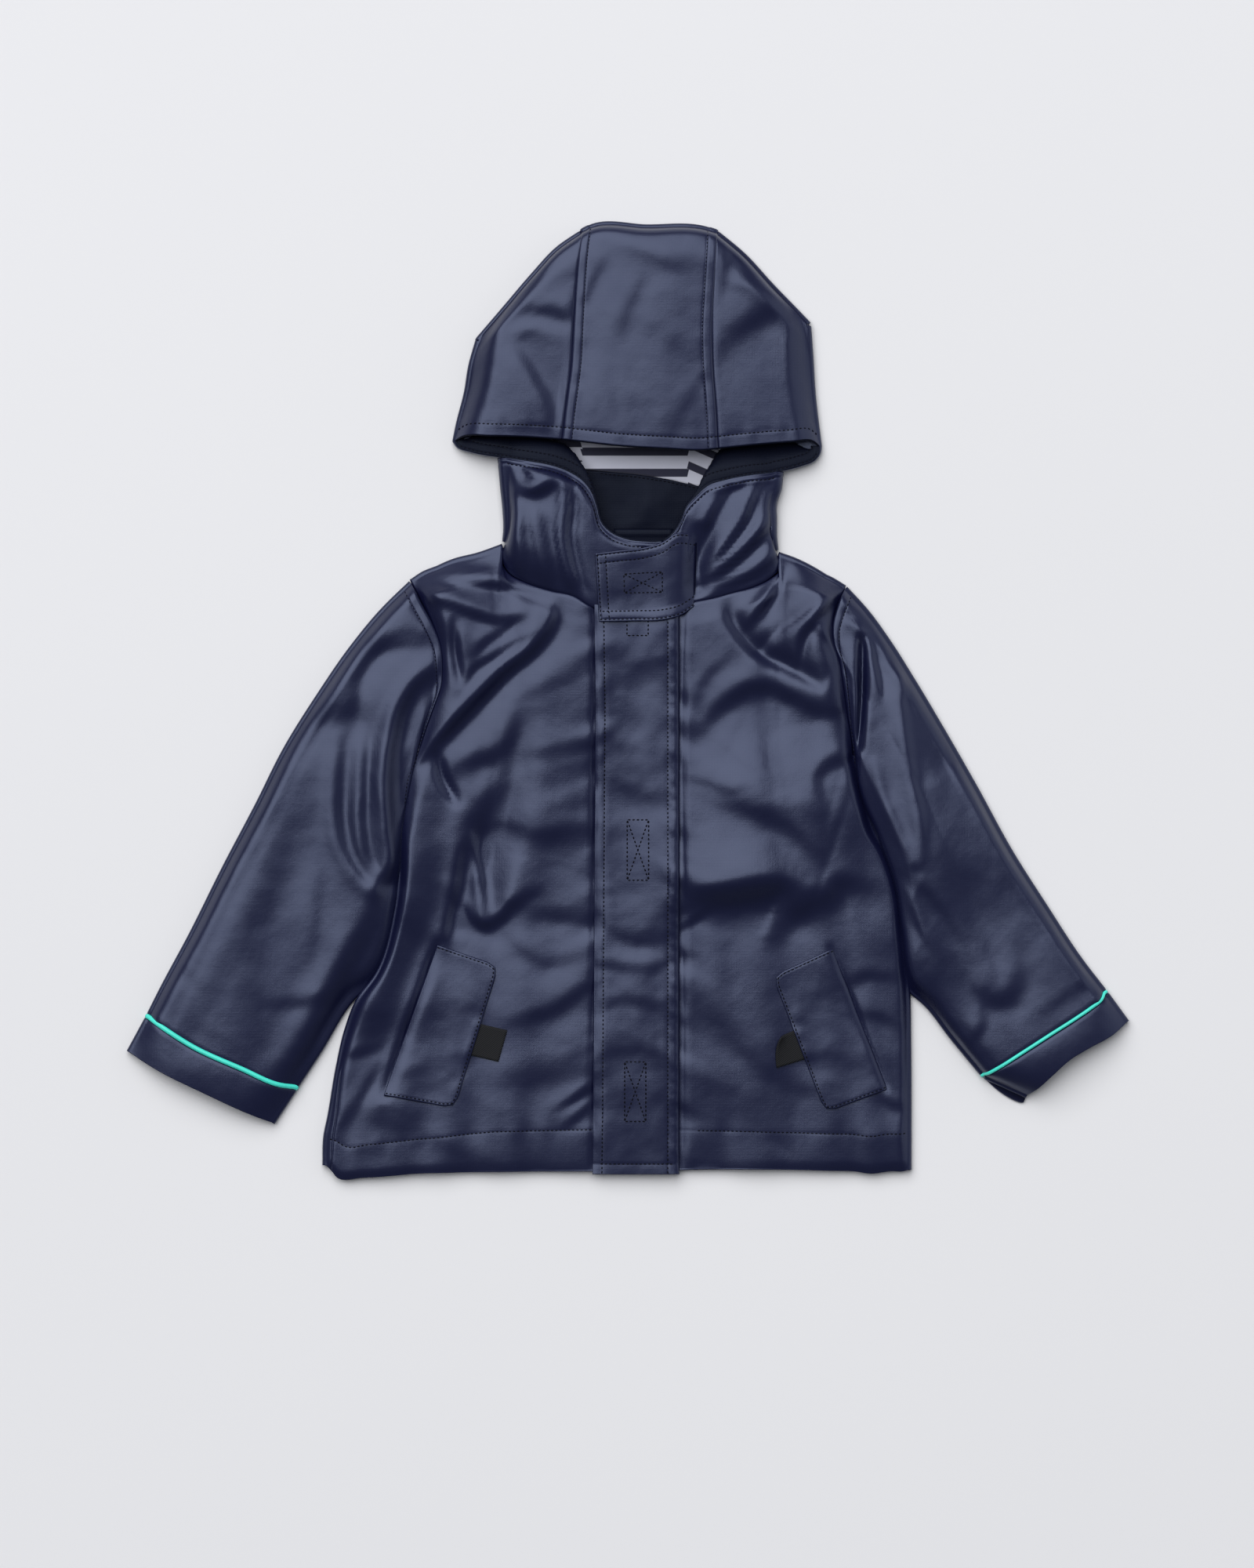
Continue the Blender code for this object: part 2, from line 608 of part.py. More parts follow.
# ---------------------------------------------------------------- sleeves and cuffs

def tube_patches(upper, turn, along_seam=False):
    """A flattened tube: the upper layer, the lower one on the table and a rolled fold on each side.

    With along_seam the folds begin in line with the first row, beside what it is sewn to.
    """
    lower = at_height(upper, TABLE_LAYER)
    outer = plan_normals(upper[:, 0], -turn)
    inner = plan_normals(upper[:, -1], turn)
    if along_seam:
        outer[0] = (upper[0, 0] - upper[0, 1])[:2] / np.linalg.norm((upper[0, 0] - upper[0, 1])[:2])
        inner[0] = (upper[0, -1] - upper[0, -2])[:2] / np.linalg.norm((upper[0, -1] - upper[0, -2])[:2])
    return [upper, lower,
            fold_strip(upper[:, 0], lower[:, 0], outer),
            fold_strip(upper[:, -1], lower[:, -1], inner)]


class Sleeve:
    """Edges of one sleeve; turn is +1 on the left and -1 on the right."""

    def __init__(self, outer_rows, inner_rows, piping_rows, foot_rows, turn):
        across, along = SLEEVE_GRID
        self.turn = turn
        self.outer = inset(side((outer_rows, along)), FOLD_REACH, turn)
        self.inner = inset(side((inner_rows, along)), FOLD_REACH + SIDE_GAP, -turn)
        ends = (tuple(self.outer[-1]), *piping_rows[1:-1], tuple(self.inner[-1]))
        self.piping = side((ends, across))
        run = self.outer[-1] - self.outer[-2] + self.inner[-1] - self.inner[-2]
        self.run = run[:2] / np.linalg.norm(run[:2])
        self.foot = side((foot_rows, across))
        self.foot[0, :2] += FOLD_REACH * plan_normals(self.outer, turn)[-1]
        self.foot[-1, :2] += FOLD_REACH * plan_normals(self.inner, -turn)[-1]

    def upper(self, armhole, folds):
        """The sleeve's upper layer; columns run from the outer edge to the inner, rows to the cuff."""
        across = SLEEVE_GRID[0]
        gap = SLEEVE_GAP + UNDERARM_GAP * np.linspace(0.0, 1.0, across + 1)**8
        top = inset(side((armhole, across)), gap[:, None], -self.turn)
        end = self.piping.copy()
        end[:, :2] -= CUFF_GAP * self.run
        grid = patch(top, end, self.outer, self.inner)
        u, v = shares(grid)
        rise = np.interp(v, *np.transpose(SLEEVE_RISE)) * np.sin(math.pi * u)**0.7
        fade = edge_fade(u, 0.12) * edge_fade(v, 0.1)
        return raise_patch(grid, rise + fold_height(grid, folds) * fade, FOLD_LAYER)

    def cuff(self):
        top = self.piping.copy()
        top[:, :2] += CUFF_GAP * self.run
        outer = side(((tuple(top[0]), tuple(self.foot[0])), 2))
        inner = side(((tuple(top[-1]), tuple(self.foot[-1])), 2))
        return patch(top, self.foot, outer, inner)

    def piping_ring(self):
        """The closed line of the piping: over the upper layer, round both folds and back below."""
        upper = self.piping[None]
        lower = at_height(upper, TABLE_LAYER)
        outward = np.array([self.outer[-1, :2] - self.inner[-1, :2]])
        outward /= np.linalg.norm(outward)
        outer_fold = fold_strip(upper[:, 0], lower[:, 0], outward)[1:-1, 0]
        inner_fold = fold_strip(upper[:, -1], lower[:, -1], -outward)[1:-1, 0]
        ring = np.concatenate((upper[0], inner_fold, lower[0, ::-1], outer_fold[::-1]))
        ring[:, 2] = np.maximum(ring[:, 2], PIPING_RADIUS + 0.2)
        return ring


def cord_object(name, points, radius, finish, collection):
    """A closed round cord along the points."""
    curve = bpy.data.curves.new(name, "CURVE")
    curve.dimensions = "3D"
    curve.bevel_depth = radius * MM
    curve.bevel_resolution = 1
    spline = curve.splines.new("POLY")
    spline.points.add(len(points) - 1)
    for point, place in zip(spline.points, points):
        point.co = (*(place * MM), 1.0)
    spline.use_cyclic_u = True
    curve.materials.append(finish)
    item = bpy.data.objects.new(name, curve)
    collection.objects.link(item)
    return item


# ---------------------------------------------------------------- hood

def back_seam(y, turn, gap):
    """Place of the hood's seam on its lower layer at y; turn -1 is the left one."""
    table = np.array(HOOD_BACK_SEAM_X)
    x = np.interp(y, table[:, 0], table[:, 1 if turn < 0 else 2])
    return (float(x + turn * gap), float(y), TABLE_LAYER)


def hood_side(brim, crown_side, crown_top, seam, lip, neck_fold, neck_seam, folds, turn):
    """A hood side: crown over the lower layer, with the front of the neck folded back over it.

    turn is -1 on the left. Columns run from the outline inwards, rows from the brim to the crown.
    """
    across, along = HOOD_SIDE_GRID
    neck_rows, neck_columns = NECK_GRID
    half_gap = SEAM_GAP / 2
    outline = inset(side((crown_side, along), (crown_top, across)), FOLD_REACH, turn)
    outline[-1, :2] = (seam[-1][0] + turn * half_gap, seam[-1][1] - FOLD_REACH)
    left, head = outline[:along + 1], outline[along:]
    seam_line = side((seam, along))
    seam_line[:, 0] += turn * half_gap
    foot = side(((tuple(left[0]), *brim[1:]), across))
    foot[-1] = seam_line[0]
    crown = patch(foot, head, left, seam_line)
    u, v = shares(crown)
    rise = 6.0 * np.sin(math.pi * u) * np.sin(math.pi * v)**0.6
    crown_folds = fold_height(crown, folds[0]) * edge_fade(u, 0.1) * edge_fade(v, 0.1)
    crown = raise_patch(crown, rise + crown_folds, FOLD_LAYER)

    fold_line = inset(side((neck_fold, neck_rows)), FOLD_REACH, turn)
    mouth = at_height(side(((tuple(left[0]), tuple(fold_line[-1])), 2)), TABLE_LAYER)
    inner = side(((tuple(mouth[-1]), back_seam(MOUTH_BACK_Y, turn, half_gap)), across - 2))
    top_seam = (head[-1][0], head[-1][1], TABLE_LAYER)
    back_line = side(((back_seam(MOUTH_BACK_Y, turn, half_gap), top_seam), along))
    lower_outline = at_height(outline, TABLE_LAYER)
    lower = patch(np.concatenate((mouth, inner[1:])), lower_outline[along:],
                  lower_outline[:along + 1], back_line)

    neck_y = np.interp(back_seam(92.0, turn, half_gap)[0], *np.transpose(BACK_NECK)[:2]) + SEAM_GAP
    foot_rows = ((*fold_line[0][:2], TABLE_LAYER), back_seam(neck_y, turn, half_gap))
    neck_back = patch(side((foot_rows, across - 2)), inner, at_height(fold_line, TABLE_LAYER),
                      side(((back_seam(neck_y, turn, half_gap), tuple(inner[-1])), neck_rows)))

    gap = SEAM_GAP + NECK_POINT_GAP * np.linspace(1.0, 0.0, neck_columns + 1)**6
    seam_foot = inset(side((neck_seam, neck_columns)), gap[:, None], -turn)
    seam_foot[0] = (*fold_line[0][:2], FOLD_LAYER)
    seam_foot[-1, 0] = neck_seam[-1][0]
    lip_rows = (tuple(fold_line[-1]), *lip[1:])
    head_line = side((lip_rows, neck_columns))
    centre = side(((tuple(seam_foot[-1]), tuple(head_line[-1])), neck_rows))
    throat = patch(seam_foot, head_line, fold_line, centre)
    u, v = shares(throat)
    rise = 2.0 * np.sin(math.pi * u) * np.sin(math.pi * v)
    throat_folds = fold_height(throat, folds[1]) * edge_fade(u, 0.1) * edge_fade(v, 0.2)
    throat = raise_patch(throat, rise + throat_folds, FOLD_LAYER)

    crown_edge = np.concatenate((crown[:, 0], crown[-1, 1:]))
    lower_edge = np.concatenate((lower[:, 0], lower[-1, 1:]))
    crown_fold = fold_strip(crown_edge, lower_edge, plan_normals(crown_edge, -turn))
    neck_edge = fold_strip(throat[:, 0], neck_back[:, 0], plan_normals(throat[:, 0], -turn))
    return [crown, crown_fold, lower, neck_back, neck_edge, throat]


def hood_centre():
    """The centre strip: from the brim over the crown's fold and down the lower layer to the neck."""
    along = HOOD_SIDE_GRID[1]
    half_gap = SEAM_GAP / 2
    left = side((HOOD_SEAM_LEFT, along))
    right = side((HOOD_SEAM_RIGHT, along))
    left[:, 0] += half_gap
    right[:, 0] -= half_gap
    foot = side((BRIM_CENTRE, 6))
    head = side((CROWN_TOP_CENTRE, 6))
    head[:, 1] -= FOLD_REACH
    foot[0], foot[-1] = left[0], right[0]
    head[0, 0], head[-1, 0] = left[-1, 0], right[-1, 0]
    upper = patch(foot, head, left, right)
    u, v = shares(upper)
    upper = raise_patch(upper, 1.8 * np.sin(math.pi * u) * np.sin(math.pi * v), FOLD_LAYER)
    lower_head = at_height(head, TABLE_LAYER)
    ends = [back_seam(np.interp(back_seam(92.0, turn, 0.0)[0], *np.transpose(BACK_NECK)[:2]) + SEAM_GAP,
                      turn, -half_gap) for turn in (-1, 1)]
    middle = (8.0, BACK_NECK[2][1] + SEAM_GAP, TABLE_LAYER)
    lower_foot = side(((ends[0], middle, ends[1]), 6))
    sides = []
    for turn, end, top in ((-1, ends[0], lower_head[0]), (1, ends[1], lower_head[-1])):
        bend = back_seam(MOUTH_BACK_Y, turn, -half_gap)
        sides.append(side(((end, bend), 2), ((bend, tuple(top)), along)))
    lower = patch(lower_foot, lower_head, *sides)
    fold = fold_strip(upper[-1], lower[-1], plan_normals(upper[-1], 1))
    return [upper, fold, lower]


def lining():
    foot = side((LINING_FOOT, 7))
    head = side((LINING_HEAD, 7))
    left = side((LINING_LEFT, 6))
    right = side((LINING_RIGHT, 6))
    return at_height(patch(foot, head, left, right), LINING_LAYER)


def neck_facing():
    head = side((LINING_FOOT, 7))
    head[:, 1] -= SEAM_GAP
    foot = side((FACING_FOOT, 7))
    left = side(((FACING_FOOT[0], tuple(head[0])), 2))
    right = side(((FACING_FOOT[-1], tuple(head[-1])), 2))
    return at_height(patch(foot, head, left, right), LINING_LAYER)


# ---------------------------------------------------------------- pieces that lie on the coat

def strip(left_x, right_x, foot_y, head_y, columns, rows):
    x = np.linspace(left_x, right_x, columns + 1)[None, :] * np.ones((rows + 1, 1))
    y = np.linspace(foot_y, head_y, rows + 1)[:, None] * np.ones((1, columns + 1))
    return np.dstack((x, y, np.zeros_like(x)))


def in_plan(rows):
    return tuple((x, y, 0.0) for x, y in rows)


def corner_points(before, corner, after, radius):
    """Start, middle and end of a rounded corner."""
    before, corner, after = (np.array(p) for p in (before, corner, after))
    start = corner + radius * (before - corner) / np.linalg.norm(before - corner)
    end = corner + radius * (after - corner) / np.linalg.norm(after - corner)
    middle = 0.25 * start + 0.5 * corner + 0.25 * end
    return [tuple(p) for p in (start, middle, end)]


def pocket_flap(corners):
    """A slanted flap with its two inner corners rounded."""
    outer_foot, outer_head, inner_head, inner_foot = corners
    upper = corner_points(outer_head, inner_head, inner_foot, POCKET_CORNER)
    lower = corner_points(inner_head, inner_foot, outer_foot, POCKET_CORNER)
    foot = side((in_plan((outer_foot, lower[2])), 4), (in_plan((lower[2], lower[1])), 1))
    head = side((in_plan((outer_head, upper[0])), 4), (in_plan((upper[0], upper[1])), 1))
    inner = side((in_plan((lower[1], lower[0])), 1), (in_plan((lower[0], upper[2])), 6),
                 (in_plan((upper[2], upper[1])), 1))
    outer = side((in_plan((outer_foot, outer_head)), 8))
    return patch(foot, head, outer, inner)


def pull_tab(table):
    """A short end of tape out from under a flap's edge; the end's upper corner may curl up."""
    root_upper, end_upper, end_lower, root_lower, curl = table
    grid = patch(side((in_plan((root_lower, end_lower)), 3)), side((in_plan((root_upper, end_upper)), 3)),
                 side((in_plan((root_lower, root_upper)), 3)), side((in_plan((end_lower, end_upper)), 3)))
    u, v = shares(grid)
    grid[..., 2] = curl * (u * v)**2
    return grid


def neck_tab():
    foot = side((in_plan(NECK_TAB_FOOT), 6))
    head = side((in_plan(NECK_TAB_TOP), 6))
    left = side((in_plan((NECK_TAB_FOOT[0], NECK_TAB_TOP[0])), 4))
    right = side((in_plan((NECK_TAB_FOOT[-1], NECK_TAB_TOP[-1])), 4))
    return patch(foot, head, left, right)


# ---------------------------------------------------------------- the coat

def main():
    clear_objects()
    coat = bpy.data.collections.new("kids_raincoat")
    bpy.context.scene.collection.children.link(coat)
    navy = material("coated_cloth", NAVY, 0.42)
    reverse = material("cloth_facing", NAVY_INSIDE, 0.6)
    mint = material("piping_cord", MINT, 0.5)
    jersey = material("striped_jersey", JERSEY, 0.9)
    tape = material("twill_tape", TAPE_BLACK, 0.85)

    def piece(name, grids, wall=WALL, finish=navy):
        return wall_object(name, grids, wall, finish, coat)

    piece("back_panel", [back()])
    front_left = piece("front_left", [body_front(
        SIDE_LEFT, HEM_LEFT, ARMHOLE_LEFT, SHOULDER_LEFT, NECK_SEAM_LEFT, FRONT_FOLDS_LEFT)])
    front_right = piece("front_right", [body_front(
        SIDE_RIGHT, HEM_RIGHT, ARMHOLE_RIGHT, SHOULDER_RIGHT, NECK_SEAM_RIGHT, FRONT_FOLDS_RIGHT)])

    left = Sleeve(SLEEVE_OUTER_LEFT, SLEEVE_INNER_LEFT, PIPING_LINE_LEFT, CUFF_FOOT_LEFT, 1)
    right = Sleeve(SLEEVE_OUTER_RIGHT, SLEEVE_INNER_RIGHT, PIPING_LINE_RIGHT, CUFF_FOOT_RIGHT, -1)
    for name, sleeve, armhole, folds in (("left", left, ARMHOLE_LEFT, SLEEVE_FOLDS_LEFT),
                                         ("right", right, ARMHOLE_RIGHT, SLEEVE_FOLDS_RIGHT)):
        piece("sleeve_" + name, tube_patches(sleeve.upper(armhole, folds), sleeve.turn, True))
        piece("cuff_" + name, tube_patches(sleeve.cuff(), sleeve.turn))
        cord_object("cuff_piping_" + name, sleeve.piping_ring(), PIPING_RADIUS, mint, coat)

    piece("hood_centre", hood_centre())
    hood_left = piece("hood_side_left", hood_side(
        BRIM_LEFT, CROWN_SIDE_LEFT, CROWN_TOP_LEFT, HOOD_SEAM_LEFT, LIP_LEFT, NECK_FOLD_LEFT,
        NECK_SEAM_LEFT, (CROWN_FOLDS_LEFT, NECK_FOLDS_LEFT), -1))
    hood_right = piece("hood_side_right", hood_side(
        BRIM_RIGHT, CROWN_SIDE_RIGHT, CROWN_TOP_RIGHT, HOOD_SEAM_RIGHT, LIP_RIGHT, NECK_FOLD_RIGHT,
        NECK_SEAM_RIGHT, (CROWN_FOLDS_RIGHT, NECK_FOLDS_RIGHT), 1))
    piece("hood_lining", [lining()], THIN_WALL, jersey)
    piece("back_neck_facing", [neck_facing()], THIN_WALL, reverse)

    upper_layer = [front_left, front_right, hood_left, hood_right]
    guard = strip(GUARD_LEFT_X, GUARD_LEFT_X + GUARD_WIDTH, *GUARD_Y, 3, 22)
    piece("zip_guard", [lay_on(guard, upper_layer, WALL, 8.0, from_below=True)])
    flap_grid = strip(FLAP_LEFT_X, FLAP_RIGHT_X, *STORM_FLAP_Y, 5, 30)
    storm_flap = piece("storm_flap", [lay_on(flap_grid, upper_layer, WALL, 6.0)])
    piece("neck_tab", [lay_on(neck_tab(), upper_layer + [storm_flap], WALL, 8.0)])

    for name, front, corners, tab in (("left", front_left, POCKET_LEFT, PULL_TAB_LEFT),
                                      ("right", front_right, POCKET_RIGHT, PULL_TAB_RIGHT)):
        tape_end = piece("pull_tab_" + name, [lay_on(pull_tab(tab), [front], TAPE_WALL, 4.0)],
                         TAPE_WALL, tape)
        piece("pocket_flap_" + name, [lay_on(pocket_flap(corners), [front, tape_end], WALL, 7.0)])


main()
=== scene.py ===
"""A child's hooded raincoat laid flat on a pale table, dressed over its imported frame.

Tables are in millimetres and meshes in metres, in the frame's own place: the origin is on the
table under the middle of the coat, +X to the right from above, +Y from the hem to the hood.
Each panel is one shell of cloth on a grid of points; left is -X.
"""

import math
from collections import namedtuple

import bmesh
import bpy
import numpy as np
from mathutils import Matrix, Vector
from mathutils.bvhtree import BVHTree


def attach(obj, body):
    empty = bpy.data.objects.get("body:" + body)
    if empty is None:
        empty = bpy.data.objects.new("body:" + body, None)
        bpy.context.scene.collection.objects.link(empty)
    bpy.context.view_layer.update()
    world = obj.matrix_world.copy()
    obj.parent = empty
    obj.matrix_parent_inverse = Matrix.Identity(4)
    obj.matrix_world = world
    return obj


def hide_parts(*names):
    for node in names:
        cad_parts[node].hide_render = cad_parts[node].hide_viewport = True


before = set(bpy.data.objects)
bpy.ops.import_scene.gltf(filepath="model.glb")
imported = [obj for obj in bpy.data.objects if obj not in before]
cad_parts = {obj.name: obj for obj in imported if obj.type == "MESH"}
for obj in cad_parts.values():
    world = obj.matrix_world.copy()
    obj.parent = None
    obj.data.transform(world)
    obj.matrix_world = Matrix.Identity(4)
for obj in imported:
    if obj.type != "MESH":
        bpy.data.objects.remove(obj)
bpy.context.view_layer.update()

MM = 0.001

# Thickness of the cloth and the height of its middle over the table, mm
CLOTH = 0.8                 # coated cloth
JERSEY = 0.7
GUARD = 1.6                 # zip guard, folded double
TAPE = 1.1
PIPING_RADIUS = {"left": 1.6, "right": 1.1}
TABLE = 0.45                # cloth that lies on the table
FOLD_LAYER = 4.8            # an upper layer where it folds round to the lower one
TUCK_LAYER = 2.4            # a sleeve's upper layer where it lies under the body
BODY_SIDE = 6.8             # the body's upper layer along its sides
LINING_LAYER = 1.9          # lining and neck facing, on the hood's lower layer
FOLD_REACH = (FOLD_LAYER - TABLE) / 2 + CLOTH / 2
CUFF_PEEP = 6.0             # how far the right cuff's lower layer shows past its upper one

# Thread, drawn wide enough to hold the painted shade of the needle holes, and the length from stitch to
# stitch, mm
THREAD = 0.84
FASTENER_THREAD = 0.95
SEAM_THREAD = 0.5
STITCH_PITCH = 2.7
SEAM_STITCH_PITCH = 2.4
# Rows of stitches, mm from the edge or seam that they follow
FELL_ROW = 6.3              # on felled seams
HOOD_HEM_ROW = 7.0
LIP_ROW = 3.6
FLAP_LEFT_ROW, FLAP_RIGHT_ROW, FLAP_FOOT_ROW = 6.0, 7.2, 6.6
TAB_EDGE_ROW, TAB_INNER_ROW = 1.3, 6.5
POCKET_ROW = 1.4
FACING_ROW = 1.6

# Lengths of the pieces in plan, mm, over which their points are spread
FRONT_SHOULDER_WIDTH, FRONT_NECK_WIDTH = 72, 100
SIDE_LENGTH, ARMHOLE_LENGTH = 245, 140
BACK_WIDTH = 360
SLEEVE_WIDTH, SLEEVE_LENGTH = 140, 300
CUFF_WIDTH, CUFF_LENGTH = 105, 24
CROWN_SIDE_WIDTH, CROWN_CENTRE_WIDTH, CROWN_LENGTH = 52, 92, 140
THROAT_WIDTH, THROAT_LENGTH = 90, 60
HOOD_BACK_LENGTH = 210
LINING_WIDTH, LINING_LENGTH = 150, 120
FLAP_WIDTH, FLAP_LENGTH = 54, 363
GUARD_WIDTH, GUARD_LENGTH = 38, 394
TAB_WIDTH, TAB_LENGTH = 64, 44
POCKET_WIDTH, POCKET_LENGTH = 43, 97
TAPE_WIDTH = 20

# Points of the pieces: their spacing, and how far the closer ones lie from an edge, mm
PITCH = 2.4
SMALL_PITCH = 2.2           # cuffs and sewn-on pieces
HIDDEN_PITCH = 6.0
EDGE_STEPS = (0.0, 0.5, 1.2, 2.4)
HEM_STEPS = (0.0, 0.5, 1.1, 2.2, 4.6, 7.2, 9.8, 12.4, 15.0, 17.6, 20.2, 22.2, 23.3, 24.0, 24.7, 25.8, 27.8)
HEM_ROW = HEM_STEPS.index(24.0)
SIDE_STEPS = (0.0, 1.6, 3.0, 3.8, 4.4, 5.0, 5.8, 7.2, 9.4)
SIDE_SEAM_COLUMN = SIDE_STEPS.index(4.4)
SEAM_STEPS = (0.0, 0.5, 1.0, 1.8, 3.0, 4.4, 5.4, 5.9, FELL_ROW, 6.7, 7.4, 8.8, 10.8)
TUBE_STEPS = (0.0, 1.6, 3.4)
BRIM_STEPS = (0.0, 0.5, 1.2, 2.4, 4.4, 5.8, 6.5, HOOD_HEM_ROW, 7.6, 9.0)
LIP_STEPS = (0.0, 0.5, 1.0, 1.6, 2.4, 3.0, LIP_ROW, 4.2, 5.2, 6.6)
FLAP_LEFT_STEPS = (0.0, 0.4, 1.0, 2.0, 4.0, 5.4, FLAP_LEFT_ROW, 6.6, 7.6)
FLAP_RIGHT_STEPS = (0.0, 0.4, 0.9, 1.8, 3.6, 5.6, 6.7, FLAP_RIGHT_ROW, 7.7, 8.8)
FLAP_FOOT_STEPS = (0.0, 0.5, 1.2, 3.0, 5.8, FLAP_FOOT_ROW, 7.4, 9.0)
TAB_STEPS = (0.0, 0.4, 0.9, TAB_EDGE_ROW, 1.8, 3.0, 5.4, 6.0, TAB_INNER_ROW, 7.0, 8.0)
POCKET_STEPS = (0.0, 0.4, 0.9, POCKET_ROW, 2.0, 3.2)
GUARD_HEAD_STEPS = (0.0, 0.5, 1.0, 2.0, 3.6, 4.2)

# Shares of a panel's side, where two runs of its outline meet
ARMHOLE_SHARE = 0.577       # of a body side, up to the armhole
SHOULDER_SHARE = 0.375      # of a front's head, from the armhole to the neck
BACK_SHOULDER_SHARE = 0.2   # of the back's head, on each side
TIP_SHARE = 0.3             # of a hood side's brim, for the tip that turns down to the neck
TIP_REACH = 0.6             # how far the tip's fold stands out, mm

# Heights across a seam, mm. Columns: distance from the seam, rise.
FELLED = ((0.0, -0.9), (0.5, -0.1), (1.0, 0.45), (1.8, 0.6), (4.4, 0.6), (5.4, 0.5),
          (5.9, 0.15), (6.3, -0.25), (6.7, -0.05), (7.4, 0.0))
SUNK = ((0.0, -0.9), (0.5, -0.35), (1.2, 0.0))
# Heights across a finished edge, mm. Columns: distance from the edge, rise.
LIP_EDGE = ((0.0, -0.15), (0.5, 0.25), (1.0, -0.3), (1.6, 0.12), (2.4, 0.0))
FLAP_SEAM = ((0.0, -1.4), (0.5, -0.7), (1.2, 0.0))
GUARD_HEAD = ((0.0, -0.6), (0.5, 0.0), (1.0, 0.35), (3.6, 0.35), (4.2, -0.2), (6.0, 0.0))
TAB_EDGE = ((0.0, -0.2), (0.6, 0.1), (1.3, -0.2), (2.0, 0.06), (5.6, 0.05), (6.5, -0.12), (7.4, 0.0))
TAB_SEAM = ((0.0, 1.6), (2.0, 1.0), (6.0, 0.4), (12.0, 0.0))
POCKET_EDGE = ((0.0, -0.35), (0.6, 0.0), (1.0, 0.02), (1.4, -0.12), (2.0, 0.02), (3.2, 0.0))


# ---------------------------------------------------------------- outlines: x, y, z of the cloth's middle

CENTRE_X = 5
FLAP_LEFT_X, FLAP_RIGHT_X = -21.3, 32.7
ARMHOLE_LEFT = (
    (-138.4, 75.9, 3.8), (-132.3, 63.8, 8), (-124.7, 49.8, 11), (-119.3, 35.8, 12.2),
    (-118, 22.8, 12.4), (-118.8, 9.8, 12), (-123.7, -3.3, 11.2), (-129, -17.3, 10.2),
    (-134.5, -32.8, 9), (-139.5, -43, 7.8), (-143.4, -59.8, BODY_SIDE),
)
ARMHOLE_RIGHT = (
    (138.6, 72.2, 3.8), (134, 61, 8), (130.8, 48.3, 11), (131.2, 38.5, 11.8),
    (134.8, 27.3, 12), (137.5, 11.8, 11.4), (140.4, -7.8, 9.6), (144.5, -28.8, 7.6),
    (145.4, -34.3, BODY_SIDE),
)
SIDE_LEFT = tuple((x, y, BODY_SIDE) for x, y in (
    (-143.4, -59.8), (-146.5, -87.8), (-147, -112.8), (-149.8, -134.8), (-161, -173),
    (-173.5, -190.3))) + tuple((x, y, FOLD_LAYER) for x, y in (
        (-181, -209.3), (-186.5, -233), (-192, -265.3), (-194.4, -277), (-195, -296)))
SIDE_RIGHT = tuple((x, y, BODY_SIDE) for x, y in (
    (145.4, -34.3), (149.5, -51.3), (153, -66.8), (158.5, -83.8), (164.2, -93.2),
    (169.5, -105.3), (174.5, -123.8), (176.8, -148.8))) + tuple((x, y, FOLD_LAYER) for x, y in (
        (180.4, -186), (181, -219.3), (181.2, -299)))
SHOULDER_LEFT = (
    (-138.4, 75.9, 3.8), (-130.2, 82.2, FOLD_LAYER), (-122.5, 86.3, FOLD_LAYER),
    (-111.7, 91, FOLD_LAYER), (-95.5, 95.2, FOLD_LAYER), (-80.4, 100.6, FOLD_LAYER),
)
SHOULDER_RIGHT = (
    (138.6, 72.2, 3.8), (130.5, 78.5, FOLD_LAYER), (120.7, 84.8, FOLD_LAYER),
    (108, 91.3, FOLD_LAYER), (96.6, 95.4, FOLD_LAYER),
)
NECK_SEAM_LEFT = (
    (-80.4, 100.6, FOLD_LAYER), (-80.6, 88.4, 6.2), (-75.8, 81.3, 8), (-66.5, 76.3, 9.4),
    (-48.5, 70.3, 11), (-34.5, 67, 12.2), (-24.5, 60.8, 13.2), (CENTRE_X - 0.1, 57, 14.6),
)
NECK_SEAM_RIGHT = (
    (96.6, 95.4, FOLD_LAYER), (97.8, 84.4, 6.2), (91.8, 78.8, 8), (78.8, 72.3, 9.6),
    (67.9, 69.4, 10.6), (55, 65.8, 11.6), (43, 63.4, 12.4), (28, 60, 13.8),
    (CENTRE_X + 0.1, 57, 14.6),
)
CENTRE_FRONT = ((-299.6, 6.2), (-262, 8), (-205, 10.4), (-120, 10.6), (-40, 11.2), (57, 14.6))  # y, z
HEM_LEFT = (
    (-195, -296, FOLD_LAYER), (-189.6, -299.6, FOLD_LAYER), (-186.6, -303.4, 4.8),
    (-168.3, -303.8, 5.4), (-150, -302.6, 6.2), (-137.5, -301.4, 5.6), (-118, -300.8, 6.6),
    (-102.5, -300.4, 5.6), (-80, -300.2, 6.6), (-60.2, -299.9, 5.6), (-36, -299.8, 6.4),
    (CENTRE_X - 0.1, -299.6, 6.6),
)
HEM_RIGHT = (
    (181.2, -299, FOLD_LAYER), (176, -299.8, 5), (168, -299.7, 5.4), (155, -301.2, 6.2),
    (144.5, -299.8, 5.6), (129.5, -299.4, 6.6), (104, -298.8, 5.6), (85.5, -298.6, 6.6),
    (60, -298.6, 5.6), (CENTRE_X + 0.1, -299.6, 6.6),
)
# Depth of the turned-up hem at its stitching. Columns: x, depth, mm.
HEM_DEPTH_LEFT = ((-192, 17.6), (-186, 21), (-158, 22), (-127.5, 22.6), (-88.3, 25.8), (-23, 26.6))
HEM_DEPTH_RIGHT = ((33, 25.4), (85.5, 24), (127.5, 23.6), (181, 24))
